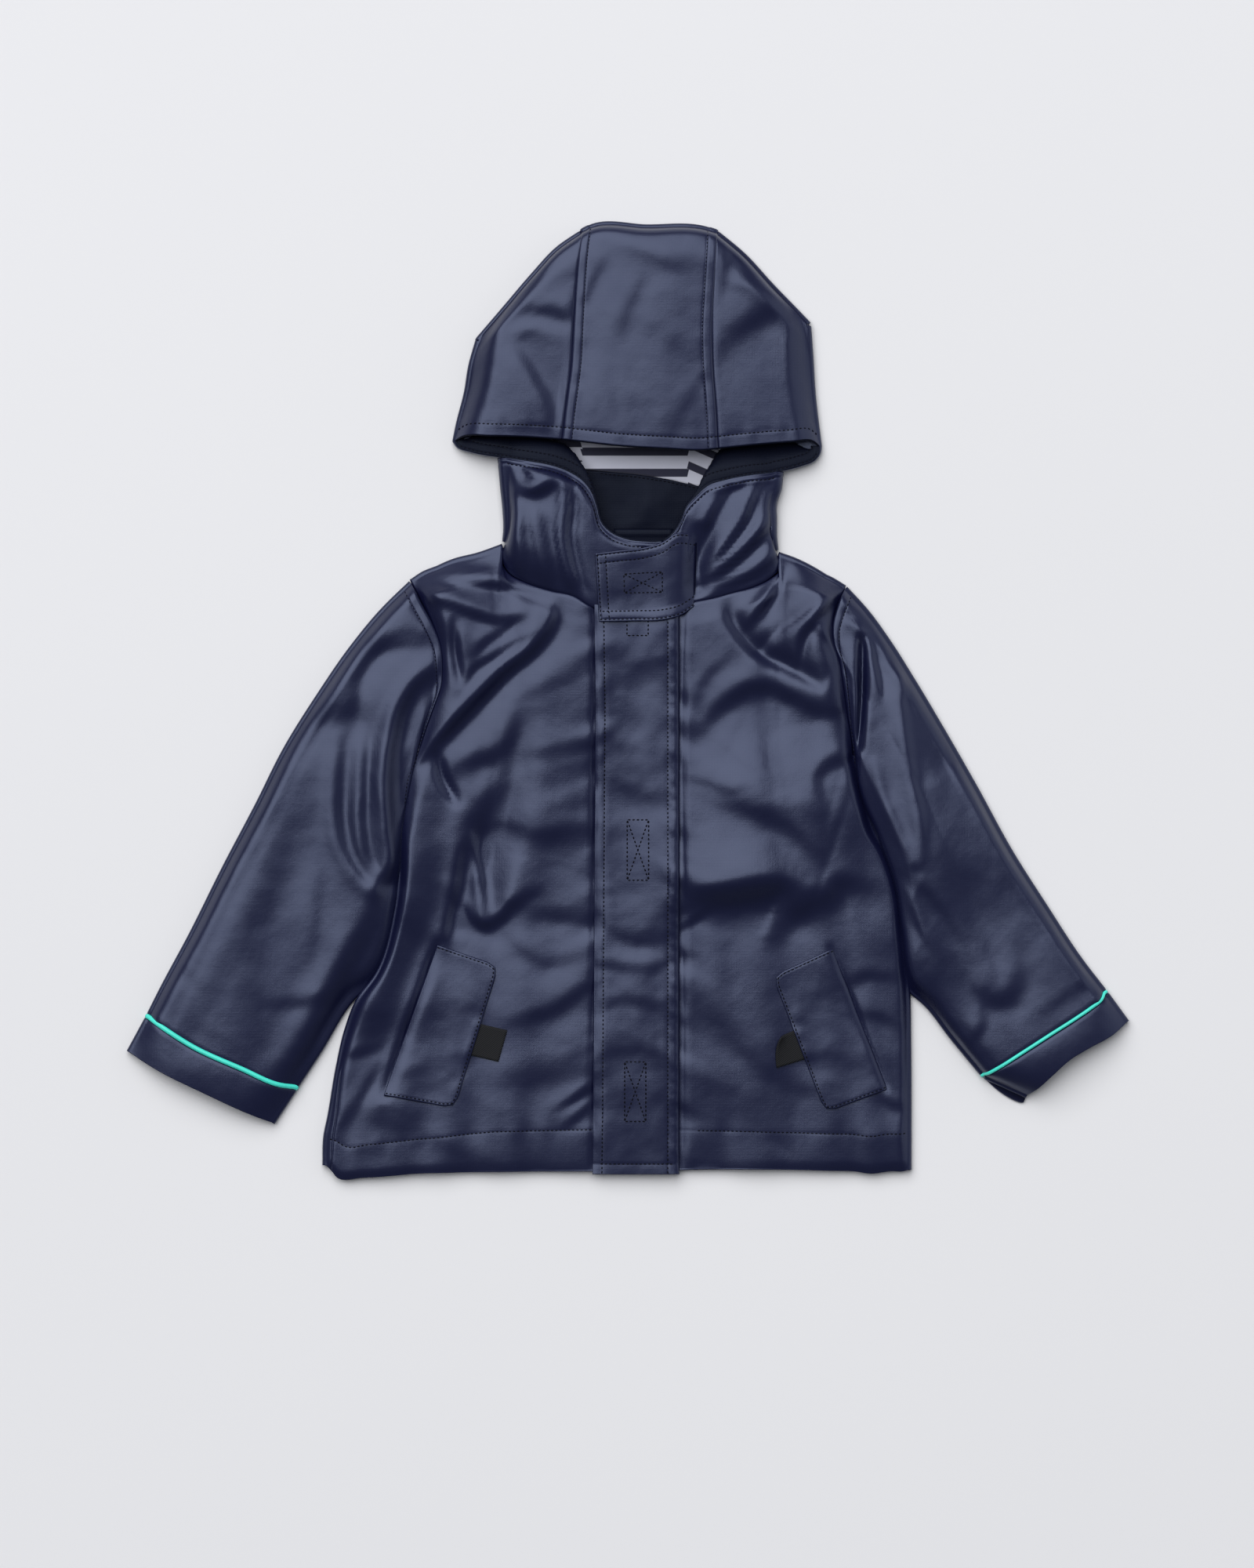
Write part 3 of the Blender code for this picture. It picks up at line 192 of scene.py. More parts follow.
# The left side seam's distance from the fold, where it shows near the hem. Columns: y, distance, mm.
SIDE_SEAM_PLACE = ((-296, 4.3), (-278, 4.2), (-262, 2.9), (-250, 2), (-236, 1.2))
SLEEVE_OUTER_LEFT = (
    (-139.4, 76.4, 3.8), (-155.3, 61.6, FOLD_LAYER), (-177.7, 34.9, FOLD_LAYER),
    (-197.8, 5.8, FOLD_LAYER), (-220, -29.8, FOLD_LAYER), (-238, -65.6, FOLD_LAYER),
    (-258, -103.6, FOLD_LAYER), (-280.3, -148.3, FOLD_LAYER), (-299.3, -183.8, FOLD_LAYER),
    (-307.6, -200.4, FOLD_LAYER),
)
SLEEVE_INNER_LEFT = (
    (-139, -59.5, 6), (-140.5, -87.8, TUCK_LAYER), (-141, -112.8, TUCK_LAYER),
    (-144.5, -136.8, TUCK_LAYER), (-157, -175, TUCK_LAYER), (-174.3, -190.8, 3.8),
    (-195.5, -224.3, FOLD_LAYER), (-210.6, -247.3, FOLD_LAYER),
)
SLEEVE_OUTER_RIGHT = (
    (139.8, 72.9, 3.8), (151.8, 60.5, FOLD_LAYER), (167.5, 39.3, FOLD_LAYER),
    (183, 14.8, FOLD_LAYER), (203, -18.8, FOLD_LAYER), (223.3, -54.3, FOLD_LAYER),
    (245.5, -94.8, FOLD_LAYER), (268, -130.3, FOLD_LAYER), (290, -163.8, FOLD_LAYER),
    (306, -184.6, FOLD_LAYER),
)
SLEEVE_INNER_RIGHT = (
    (141, -34.5, 6), (147.5, -66.8, TUCK_LAYER), (158.5, -93.8, TUCK_LAYER),
    (168.5, -124.8, TUCK_LAYER), (171.5, -150.8, TUCK_LAYER), (178, -184, 3.4),
    (189.8, -195.1, 4.4), (205.5, -215.3, FOLD_LAYER), (225.4, -239.4, FOLD_LAYER),
)
PIPING_LINE_LEFT = (
    (-307.6, -200.4, FOLD_LAYER), (-300.5, -205, 9.8), (-277.7, -219.8, 13), (-245.8, -234.3, 13.4),
    (-222, -244.5, 9.8), (-210.6, -247.3, FOLD_LAYER),
)
PIPING_LINE_RIGHT = (
    (306, -184.6, FOLD_LAYER), (302, -190.1, 9.4), (294.5, -195.9, 13), (284.5, -202.6, 15),
    (269.5, -212.1, 16), (252, -223.4, 15.8), (236, -233.6, 13.6), (230.2, -236.9, 10.2),
    (225.4, -239.4, FOLD_LAYER),
)
CUFF_FOOT_LEFT = (
    (-319.9, -223, FOLD_LAYER), (-297.5, -236.6, 10.8), (-269.7, -250.1, 11.8),
    (-245.8, -261.3, 10.4), (-225.3, -269.9, FOLD_LAYER),
)
CUFF_FOOT_RIGHT = (
    (319.9, -203.6, FOLD_LAYER), (308.3, -213.3, 10.6), (294.5, -220.8, 14.2), (282, -228.3, 15.4),
    (270.8, -238.3, 14.6), (262, -246.4, 11.4), (252.8, -252.6, FOLD_LAYER),
)
BRIM_LEFT = (
    (-112, 166.4, FOLD_LAYER), (-106, 169.2, 8), (-87.5, 169.5, 12.2), (-64, 168.8, 15.4),
    (-42, 167.3, 17.8),
)
BRIM_CENTRE = (
    (-42, 167.3, 17.8), (-26, 165.4, 18.8), (-10, 163.5, 19.4), (24.5, 161.3, 19.6),
    (48.5, 160.5, 18.6), (57.7, 161.5, 17.8),
)
BRIM_RIGHT = (
    (124, 163, FOLD_LAYER), (118, 166.6, 8), (104, 165.8, 11.2), (84.5, 164.2, 14.6),
    (57.7, 161.5, 17.8),
)
HOOD_SEAM_LEFT = (
    (-42, 167.3, 17.8), (-39.3, 189.8, 18.4), (-36.5, 210.5, 18.4), (-34.5, 243.3, 18),
    (-33, 267.3, 17.6), (-31, 288, 17), (-29.8, 297, 14.4), (-29.3, 301.3, FOLD_LAYER),
)
HOOD_SEAM_RIGHT = (
    (57.7, 161.5, 17.8), (56.3, 186.3, 18.6), (54.5, 210.5, 18.4), (53.8, 236.3, 18.2),
    (55.4, 267.3, 17.6), (56.6, 288, 17), (57, 296.4, 14.4), (57, 300.8, FOLD_LAYER),
)
CROWN_SIDE_LEFT = tuple((x, y, FOLD_LAYER) for x, y in (
    (-112, 166.4), (-110, 176.3), (-104.5, 198.3), (-102, 213.8), (-97, 231.8)))
CROWN_TOP_LEFT = tuple((x, y, FOLD_LAYER) for x, y in (
    (-97, 231.8), (-79, 252.8), (-61.5, 273.3), (-46, 289.8), (-29.3, 301.3)))
CROWN_SIDE_RIGHT = tuple((x, y, FOLD_LAYER) for x, y in (
    (124, 163), (122.5, 174.3), (120, 196.8), (118.5, 220.8), (117, 241.5)))
CROWN_TOP_RIGHT = tuple((x, y, FOLD_LAYER) for x, y in (
    (117, 241.5), (110.5, 248.3), (93.5, 265.8), (74.5, 286.3), (57, 300.8)))
CROWN_TOP_CENTRE = tuple((x, y, FOLD_LAYER) for x, y in (
    (-29.3, 301.3), (-23.5, 304.3), (12, 304.4), (49, 303.3), (57, 300.8)))
LIP_LEFT = (
    (-112, 166.4, FOLD_LAYER), (-109.5, 162.3, 5.4), (-100.5, 158.3, 9.4), (-83.2, 154.8, 14.2),
    (-62.5, 152.3, 15.8), (-48.5, 149.8, 16), (-37.5, 145.8, 15.6), (-29.5, 140.8, 16),
    (-23.5, 133.3, 16.2), (-20.2, 124.3, 16.2), (-17, 113.3, 16.2), (-10.3, 106.8, 16.2),
    (-0.5, 102.8, 16.2), (10, 101.4, 16.2), (18, 101, 16.2), (22.4, 101.6, 16.2),
)
LIP_RIGHT = (
    (124, 163, FOLD_LAYER), (123.6, 158.8, 5.4), (120, 153.3, 6.6), (111.3, 149.3, 8.2),
    (99.5, 145.8, 10.4), (78.8, 143.8, 13.4), (62.5, 140.8, 14.8), (51.5, 137.3, 15.6),
    (44, 130.8, 16), (37.5, 123.3, 16.2), (34.5, 115.3, 16.2), (30, 107.8, 16.2),
    (25.6, 103.4, 16.2), (22.6, 101.6, 16.2),
)
NECK_FOLD_LEFT = (
    (-80.4, 101.6, FOLD_LAYER), (-79.6, 110, 8.4), (-80, 120.8, 9.8), (-81.5, 135.8, 10.2),
    (-83.2, 154.8, 10.6))
NECK_FOLD_RIGHT = (
    (96.4, 96.2, FOLD_LAYER), (95.5, 104, 7.6), (95.4, 116.8, 8.8), (95.2, 125, 9.2), (98.3, 135, 9.6),
    (99.5, 145.8, 10.4))
BACK_NECK = ((-80.4, 100.8), (-40, 93), (8, 90), (56, 91.5), (96.4, 95.4))
# The hood's seams on its lower layer. Columns: y, x of the left one, x of the right one.
HOOD_BACK_SEAMS = ((92, -22, 44), (150, -33, 54), (302, -29.3, 57))
MOUTH_BACK_Y = 148.0

# How far the cloth rises between its edges. Columns: share of the way along, rise in mm.
BODY_RISE = (
    (0, 0), (0.012, 2.2), (0.06, 2.9), (0.3, 4.2), (0.5, 4.6), (0.68, 3.8), (0.88, 9.4), (0.955, 12), (1, 0))
SLEEVE_RISE = ((0, 0), (0.08, 3), (0.3, 4), (0.6, 2.4), (0.88, 0.6), (1, 0))

# ---------------------------------------------------------------- folds

# A ridge or trough (negative rise) along a path, with its widths on the path's left and right, mm.
Fold = namedtuple("Fold", "path rise left right")
# A step down from the path's left to its right: drop, half width of the step and how far out it
# evens out again on each side, mm.
Bend = namedtuple("Bend", "path drop band left right")
FRONT_FOLDS_LEFT = (
    Fold(((-158, -262), (-146, -220), (-134, -186), (-124, -150)), 2.6, 8, 44),
    Fold(((-78, -76), (-56, -80), (-30, -76)), 3, 28, 10),
    Fold(((-84, -140), (-76, -122), (-69, -98)), 3.6, 17, 12),
    Fold(((-66, -44), (-46, -40), (-26, -34)), 1.6, 22, 12),
    Bend(((-131, -36), (-112, -16), (-97, 0), (-78, 19), (-60, 34), (-49, 49),
          (-45, 63)), 10.5, 4.6, 7, 14),
    Bend(((-104, 10), (-97, 22), (-88, 27), (-72, 37), (-60, 44), (-54, 56)), 2.4, 2.4, 5, 4),
    Bend(((-122, 80), (-105, 77), (-90, 75.5), (-75, 73.5), (-60, 71), (-46, 67)), 8, 4, 7, 8),
    Bend(((-128, 66), (-112, 61), (-98, 55.5), (-84, 51.5), (-71, 53)), 5, 3.8, 7, 8),
    Fold(((-110.5, 50), (-110, 32), (-106.5, 12)), -3.2, 4, 3.4),
    Bend(((-72, 51), (-79, 45), (-90, 38), (-97, 30)), -2.2, 2, 4, 8),
    Bend(((-107, -42), (-94, -37), (-80, -31), (-72, -18), (-69, -2)), 3.8, 5.6, 14, 17),
    Fold(((-121.5, -36), (-118.5, -48), (-110, -63)), -4.4, 4, 3.4),
    Bend(((-90, -137), (-92.5, -118), (-95, -100), (-97, -88)), 6, 3.6, 6, 14),
    Bend(((-104, -112), (-101, -96), (-97, -82), (-89, -66), (-79, -48)), 8, 9, 17, 22),
    Bend(((-106, -131), (-98, -139.5), (-90, -143), (-82, -139.5), (-75, -131), (-67, -126)),
         4.4, 3.4, 12, 12),
    Bend(((-66, -134), (-45, -137), (-22, -138)), 2.2, 6, 22, 12),
    Bend(((-76, -150), (-66, -160), (-52, -167), (-43, -166)), 1.7, 4.6, 12, 11),
    Bend(((-68, -203), (-50, -198), (-36, -190), (-22, -177)), 2.4, 4.4, 20, 14),
    Bend(((-82, -240), (-60, -240), (-40, -235), (-22, -224)), 2.2, 9, 20, 18),
    Bend(((-43, -259), (-32, -252), (-21, -243)), 1.9, 2.4, 6, 5),
    Bend(((-38, -270), (-30, -263), (-21, -255)), 1.8, 2.4, 5, 6),
    Bend(((-166, -226), (-154, -196), (-143, -160), (-132, -125), (-124, -86)), 12, 17, 24, 90),
    Bend(((-118, -156), (-111, -128), (-106, -97)), 5, 5, 7, 8),
    Bend(((-112, -164), (-126, -150), (-140, -140)), -3, 10, 20, 20),
    Bend(((-183, -227), (-172, -224), (-162, -221)), 1.5, 2.8, 6, 7),
    Bend(((-182, -270), (-171, -253), (-160, -234)), 2.2, 3.4, 7, 9),
    Bend(((-62, -34), (-45, -31), (-22, -24)), 1.4, 4, 13, 15),
    Bend(((-71, 1), (-62, 5), (-52, 9), (-40, 13), (-22, 18)), 1, 4, 16, 10),
    Bend(((-84, -76), (-70, -79), (-58, -78)), 0.9, 4.6, 12, 12),
    Bend(((-54, -70), (-38, -66), (-22, -62)), 0.8, 4.6, 10, 12),
    Bend(((-134, -236), (-118, -229.5), (-99, -224)), 2, 3, 12, 8),
    Bend(((-124, -246), (-113, -239), (-103, -232)), 1.4, 2.4, 5, 5),
    Bend(((-140, -206), (-124, -196), (-106, -192)), 1, 6, 14, 12),
    Fold(((-176, -262), (-158, -256), (-140, -262)), 1.2, 9, 9),
    Fold(((-120, -276), (-104, -288), (-84, -292)), 0.9, 8, 5),
    Fold(((-155.2, -250.8), (-138, -203), (-121, -155.4)), -3.4, 2.8, 2.8),
    Fold(((-81, 96), (-91, 88.5), (-106.5, 87.6), (-123, 84.8)), -0.9, 2, 2),
)
FRONT_FOLDS_RIGHT = (
    Fold(((36, -118), (60, -114), (86, -110), (104, -112), (122, -118)), 11, 60, 17),
    Fold(((60, -42), (85, -54), (108, -60), (130, -66)), 5, 42, 18),
    Fold(((33, -232), (60, -240), (90, -250)), 2, 34, 16),
    Fold(((63, 66), (67.5, 51), (75.5, 39.5), (87, 29), (103, 21), (122, 11)), -4.6, 7.5, 4),
    Bend(((108.5, 26), (111, 40), (118, 51), (135, 69)), 4.2, 2.8, 10, 6),
    Bend(((85, 31), (98, 43.5), (112, 54), (130, 67)), -2.6, 2, 6, 9),
    Bend(((79, 51), (86, 60), (93, 71), (98, 84), (99.5, 92)), 8, 4.4, 7, 9),
    Bend(((118, 47), (124, 42), (130, 33), (134, 20)), 2, 2, 5, 9),
    Bend(((49, -16), (60, -3), (73, 6), (89, 9), (104, 3), (118, -4), (128, -6)), 5.2, 5.4, 15, 38),
    Bend(((61, -29), (72, -38), (85, -47)), 0.9, 3, 10, 10),
    Bend(((33, -49), (50, -52), (66, -57), (75, -54)), 1.4, 3.2, 14, 14),
    Bend(((124, -64), (121, -50), (126, -41), (136, -36), (147, -34)), 2.6, 4, 9, 14),
    Bend(((60, -65), (78, -70), (94, -76), (108, -86), (119, -97), (128, -108)), 4.4, 6.4, 15, 28),
    Bend(((33, -134), (42, -129), (56, -125), (72, -124), (88, -121), (97, -118), (106, -130)), 5, 7, 22, 24),
    Bend(((97, -149), (104, -139), (114, -131), (126, -124), (137, -116), (150, -118)), 5, 7.4, 12, 20),
    Bend(((33, -145), (42, -139), (50, -133)), 1.8, 2.4, 5, 6),
    Bend(((66, -204), (62, -172), (60, -144)), 1.6, 7, 14, 22),
    Bend(((37, -189), (50, -197), (62, -209), (76, -224), (92, -238), (109, -246)), 3.6, 8, 26, 18),
    Bend(((141, -179), (152, -175), (167, -176)), 1.5, 3.4, 10, 10),
    Bend(((149, -200), (160, -201), (171, -207)), 1.5, 3.4, 10, 10),
    Bend(((161, -251), (168, -257), (179, -258)), 1.9, 3, 7, 8),
    Bend(((37, -27), (43, -5), (48, 12), (61, 25)), 1.7, 4, 8, 14),
    Bend(((106, -228), (124, -226), (142, -229)), 1.4, 4, 14, 10),
    Fold(((104, -194), (109, -201), (112, -209)), 1.2, 5, 5),
    Fold(((94, -280), (100, -287), (106, -297)), -0.9, 4, 4),
    Fold(((164.6, -246.6), (146.8, -202), (129.8, -157.4)), -2.4, 2.4, 2),
)
FLAP_FOLDS = (
    Bend(((-20, -50), (6, -60), (32, -62)), 1.8, 6, 22, 16),
    Bend(((-20, -140), (6, -152), (32, -148)), 2, 5, 22, 12),
    Bend(((-20, -166), (8, -170), (32, -166)), 1.2, 3.4, 8, 10),
    Bend(((-20, -196), (0, -190), (32, -200)), 1.3, 5, 14, 14),
    Bend(((-20, -226), (8, -222), (32, -230)), 1.1, 4, 12, 12),
    Bend(((-12, 30), (10, 22), (32, 30)), 1.2, 6, 12, 16),
)
SLEEVE_FOLDS_LEFT = (
    Bend(((-241, -207), (-238, -175), (-234, -140), (-225, -100), (-212, -62), (-200, -32),
          (-195, -2)), 4.4, 12, 70, 44),
    Bend(((-208, -18), (-192, -8), (-178, -6), (-164, -8)), 5, 11, 34, 16),
    Bend(((-176, -18), (-175, 0), (-171, 17), (-163, 30), (-150, 36), (-131, 37.5)), 7, 9, 30, 8),
    Bend(((-157, -118), (-149, -106), (-150, -80), (-151.5, -50), (-148.5, -22), (-143, -3),
          (-135, 10), (-124, 19)), 13, 6.4, 8, 16),
    Bend(((-148, -121), (-163, -117), (-173, -107), (-180, -95), (-184, -75), (-184, -50),
          (-182, -27)), 5.4, 5, 8, 7),
    Bend(((-158, -112), (-165, -100), (-168.5, -80), (-168, -50), (-167, -24)), 4, 3.6, 6, 5),
    Bend(((-225, -193), (-208, -192), (-196, -190), (-187, -184)), 1.8, 5.6, 10, 9),
    Bend(((-218, -243), (-204, -222), (-190, -195), (-178, -167), (-164, -138)), 8, 9, 15, 13),
    Bend(((-200, -160), (-198, -130), (-196, -104)), 1.2, 5, 10, 10),
    Bend(((-292, -166), (-278, -176), (-266, -192)), 0.8, 5, 12, 12),
)
SLEEVE_FOLDS_RIGHT = (
    Fold(((185, -118), (225, -140), (274, -126)), -4, 56, 46),
    Fold(((215, -45), (246, -100), (270, -140), (292, -172)), 4, 8, 52),
    Fold(((172, -136), (192, -112), (220, -92)), 1.8, 40, 24),
    Fold(((149.5, 40), (149, 0), (147, -30)), -7.5, 2.6, 2.6),
    Bend(((161, 5), (158, 22), (154, 38), (147, 49), (139, 53)), 5, 3, 4, 5),
    Bend(((176, -2), (176, 14), (171, 22), (163, 24)), 1.4, 2.2, 5, 5),
    Bend(((237, -188), (226, -160), (212, -125), (203, -90), (197, -55), (190, -20), (186, 8)),
         2.2, 9, 30, 30),
    Fold(((186, -102), (186, -84), (180, -50), (175, -20), (173, 14)), 2.6, 7, 5),
    Fold(((181, -102), (172, -82), (163, -62), (157, -40)), 1.8, 5, 4),
    Bend(((215, -171), (224, -185), (234, -191), (243, -189), (249, -179), (248, -166)), 3.6, 7, 18, 13),
    Bend(((180, -112), (196, -128), (210, -148), (222, -170)), 2.6, 4.6, 12, 10),
    Bend(((179, -127), (186, -145), (195, -161)), 2, 3, 6, 6),
    Bend(((214, -222), (226, -206), (226, -190)), 1.6, 4, 8, 8),
)
NECK_FOLDS_LEFT = (
    Bend(((-47, 71), (-50, 90), (-54, 108), (-58, 123)), 4.4, 3.8, 7.5, 7),
    Bend(((-64, 80), (-67, 104), (-69, 124), (-72.5, 147)), 4.6, 3.6, 6.5, 7),
    Bend(((-30.5, 70), (-36, 88), (-39, 104), (-37.5, 124), (-38, 144)), 9, 3, 5.5, 6),
    Bend(((-66, 133), (-56, 134.5), (-46.5, 140)), 7, 3.2, 4.4, 12),
    Fold(((-71, 152), (-66, 146), (-63, 140)), -4, 3.4, 3.4),
    Bend(((-74, 92), (-75.5, 116), (-78, 140)), 2.4, 3, 5, 6),
)
NECK_FOLDS_RIGHT = (
    Bend(((48, 76), (58, 82), (67, 89), (77, 98), (86, 107.5), (96, 121)), 9, 3.6, 6.5, 9),
    Bend(((50, 85), (62, 96.5), (70, 107), (75.5, 116), (79.5, 127), (83, 137)), 7.5, 3.2, 6, 5),
    Bend(((46.5, 96), (50, 108), (55, 121), (65, 136)), 6, 3.4, 6, 6),
    Bend(((47, 64), (60, 71), (72, 76.5), (84, 83), (95, 93)), 6, 3.6, 7, 7),
    Bend(((54, 133), (66, 137.5), (80, 141), (94, 145)), 6, 3, 5, 8),
    Fold(((42.5, 58), (43.5, 80), (46, 108)), -7, 4.5, 7.5),
)
CROWN_FOLDS_LEFT = (
    Bend(((-47, 171), (-51, 190), (-60, 208), (-74, 229)), 4.4, 5.4, 24, 22),
    Bend(((-60, 249), (-48, 248), (-37, 243), (-31, 236)), 3, 4.6, 14, 10),
    Fold(((-78, 234.5), (-60, 238), (-42, 232)), 0.9, 4, 6),
    Fold(((-92, 240), (-64, 272), (-36, 296)), 0.9, 5, 5),
)
CROWN_FOLDS_CENTRE = (
    Bend(((-6, 231), (0, 248), (9, 268)), 1.3, 4.6, 10, 13),
    Bend(((-30, 249), (-25, 262), (-17, 277)), 1.5, 3.6, 8, 9),
    Bend(((-27, 292), (-5, 289), (15, 283), (33, 274)), 1.2, 4, 12, 12),
    Bend(((-6, 172), (-9, 186), (-13, 200)), 1.1, 3.6, 9, 8),
    Bend(((31, 177), (39, 192), (47, 206)), 0.7, 3.6, 8, 9),
    Bend(((33, 229), (41, 218), (47, 203)), 1.7, 5.6, 12, 9),
    Bend(((-27, 180), (-25, 206), (-24, 236)), -0.9, 4, 6, 10),
)
FACING_FOLDS = (
    Fold(((0, 108), (10, 122), (14, 140)), 2.4, 6, 8),
    Fold(((26, 106), (22, 124), (30, 138)), 1.4, 8, 8),
)
CROWN_FOLDS_RIGHT = (
    Bend(((64, 230), (74, 238), (88, 247), (103, 251), (114, 246)), 3.4, 6.4, 22, 26),
    Bend(((59, 260), (63, 280), (66, 299)), 1.4, 3, 6, 8),
    Fold(((62, 268), (80, 264), (98, 258)), 0.8, 5, 5),
)

# ---------------------------------------------------------------- sewn-on pieces, mm

# Corners in order, the inner two rounded
POCKET_LEFT = ((-155.5, -251), (-121.3, -155.5), (-82.5, -168.8), (-110.5, -259.3))
POCKET_RIGHT = ((165.5, -247.3), (130.8, -157.6), (92.5, -175.3), (126, -262))
POCKET_CORNER = 7
NECK_TAB_TOP = ((-20.7, 93.9), (-5, 95.8), (9.5, 97.5), (22, 101), (31, 106.6), (44, 106))
NECK_TAB_FOOT = ((-18.2, 50.6), (4, 51), (23.8, 51.9), (33.5, 54.6), (42.4, 60.6))
STORM_FLAP_Y = (-301.6, 62)
GUARD_LEFT_X, GUARD_RIGHT_X = -9, 29
GUARD_Y = (-285, 109.4)
GUARD_HEIGHT = ((-285, 4.6), (-250, 7), (60, 9), (96, 8.4), (109.4, 7.4))   # y, z
FLAP_SWAY = ((-301.6, -1.2), (-263, -0.8), (-3, 0.8), (57, 0), (62, 0))     # y, shift of its left edge
LINING_FOOT = ((-70, 151), (-18, 147), (5, 144.8), (24.5, 141.8), (46, 137.3), (82, 139))
LINING_HEAD = ((-56, 262), (15, 268), (84, 262))
LINING_LEFT = ((-70, 151), (-92, 186), (-84, 230), (-56, 262))
LINING_RIGHT = ((82, 139), (106, 182), (100, 230), (84, 262))
# Visible width of the facing inside the lip. Columns: x along the lip, width, mm.
LIP_FACING_LEFT = (
    (-112, 2), (-109.5, 5), (-100.5, 12), (-83, 16.5), (-62, 17.5), (-48.5, 16.5),
    (-42.5, 14.5), (-37.5, 11.4), (-33.5, 8.3), (-29.5, 5.8), (-26, 3.8), (-23.5, 2),
    (-20, 1.2), (-17, 1), (5, 0.8))
LIP_FACING_RIGHT = (
    (5, 0.8), (37, 1), (40, 1.2), (44, 1.6), (47.5, 3.5), (51.5, 7), (57, 12.2),
    (62.5, 20), (70, 22), (78.8, 23), (99.5, 21), (111.3, 17), (120, 11),
    (123, 4), (124, 2))
# How the facing falls away into the hood. Columns: distance from the lip, drop, mm.
LIP_FACING_FALL = (
    (0, 0), (0.4, -0.15), (0.8, 0), (1.2, 0.35), (1.7, 0.15), (2.6, 0.2), (3.8, 0.3), (5.2, 0.5),
    (6, 0.85), (6.5, 1.1), (7, 1), (8, 1.3), (10, 2.2), (12.5, 3.6), (15.5, 5.4), (19, 7.2),
    (23, 9))
FACING_FOOT = ((-66, 105), (8, 95), (82, 100))
TAPE_LEFT = ((-97, -205), (-76.9, -209.7), (-82.6, -229.9), (-103, -225))
TAPE_RIGHT = ((110, -208.5), (92.6, -214.6), (94.8, -233.6), (117, -226.8))
# Touch-fastener stitching on the storm flap: two boxes (left, right, foot, head) and the part of the
# top one that the neck tab leaves in view
CROSS_BOXES = ((-0.4, 13.3, -114, -75.6), (-2, 11.5, -267.8, -229.8))
TOP_BOX = ((-0.5, 52), (-0.5, 41.8), (13, 41.8), (13, 52))
TAB_BOX = ((-2.2, 68.8), (22, 69.3), (22, 82.3), (-2.5, 80.8))
# How the tab's right end goes down under the hood's lip. Columns: x, drop; then y, share of the drop.
TAB_DROP = ((26, 0), (35, 1), (44, 3.2))
TAB_DROP_SHARE = ((60, 0.3), (74, 1))

# Colours
NAVY = (0.0042, 0.0050, 0.027)
# The facings' navy, darker than the coat's: painted shade for the hood's mouth, which lies in shadow
NAVY_INSIDE_AND_SHADE = (0.003, 0.004, 0.012)
BACKING_GREY = (0.05, 0.055, 0.08)
MINT = (0.062, 0.80, 0.66)
WHITE_YARN = (0.56, 0.58, 0.70)
NAVY_YARN = (0.012, 0.014, 0.040)
BLACK_TAPE = (0.006, 0.0065, 0.008)
# Darker than the cloth: painted shade of the needle holes as well as the thread's own navy
THREAD_NAVY_AND_HOLE_SHADE = (0.0022, 0.0026, 0.0075)
FLOOR = (0.805, 0.814, 0.850)


# ---------------------------------------------------------------- curves and patches

def run_along(points):
    """Each point's distance along a line of points."""
    return np.concatenate(([0.0], np.cumsum(np.linalg.norm(np.diff(points, axis=0), axis=1))))


def smooth_curve(rows, steps):
    """Points at equal steps of length along a smooth curve through the rows."""
    knots = np.array(rows, float)
    gaps = np.linalg.norm(np.diff(knots, axis=0), axis=1)
    place = np.concatenate(([0.0], np.cumsum(gaps)))
    slope = np.gradient(knots, place, axis=0)
    fine = np.linspace(0.0, place[-1], 12 * steps + 1)
    span = np.clip(np.searchsorted(place, fine, side="right") - 1, 0, len(gaps) - 1)
    length = gaps[span][:, None]
    t = ((fine - place[span]) / gaps[span])[:, None]
    points = (2 * t**3 - 3 * t**2 + 1) * knots[span] + (3 * t**2 - 2 * t**3) * knots[span + 1]
    points += length * ((t**3 - 2 * t**2 + t) * slope[span] + (t**3 - t**2) * slope[span + 1])
    run = run_along(points)
    wanted = np.linspace(0.0, run[-1], steps + 1)
    return np.column_stack([np.interp(wanted, run, points[:, axis]) for axis in range(knots.shape[1])])


def joined_edge(*stretches):
    """A patch's side as shares and points, from stretches of (rows, share of the side)."""
    start = 0.0
    places = []
    points = []
    for rows, share in stretches:
        places.append(start + share * np.linspace(0.0, 1.0, 121))
        points.append(smooth_curve(rows, 120))
        start += share
    return np.concatenate(places), np.concatenate(points)


def edge(rows):
    """A patch's side along a single run of rows."""
    return joined_edge((rows, 1.0))


def plan_edge(*stretches):
    """A side at height 0 from stretches of (plan points, share of the side)."""
    return joined_edge(*[(tuple((*p, 0.0) for p in rows), share) for rows, share in stretches])


def even_side(points):
    """A side of evenly spaced points."""
    return np.linspace(0.0, 1.0, len(points)), points


def joined_shares(first, share, second):
    """Shares of two runs laid end to end, the first of them taking the given share."""
    return np.concatenate((share * first, share + (1.0 - share) * second))


def joined(first, share, second):
    """Two sides laid end to end, the first of them taking the given share."""
    return joined_shares(first[0], share, second[0]), np.concatenate((first[1], second[1]))


def drawn_to(side, start=None, end=None, power=8):
    """A side moved so that its ends meet the given points; the move dies away along it."""
    shares, points = side
    moved = points.copy()
    if start is not None:
        moved += (start - points[0]) * ((1 - shares)**power)[:, None]
    if end is not None:
        moved += (end - points[-1]) * (shares**power)[:, None]
    return shares, moved


def at(line, shares):
    """Points of a side at the given shares."""
    return np.column_stack([np.interp(shares, line[0], line[1][:, axis]) for axis in range(3)])


def height_along(side, shares):
    return np.interp(shares, side[0], side[1][:, 2])


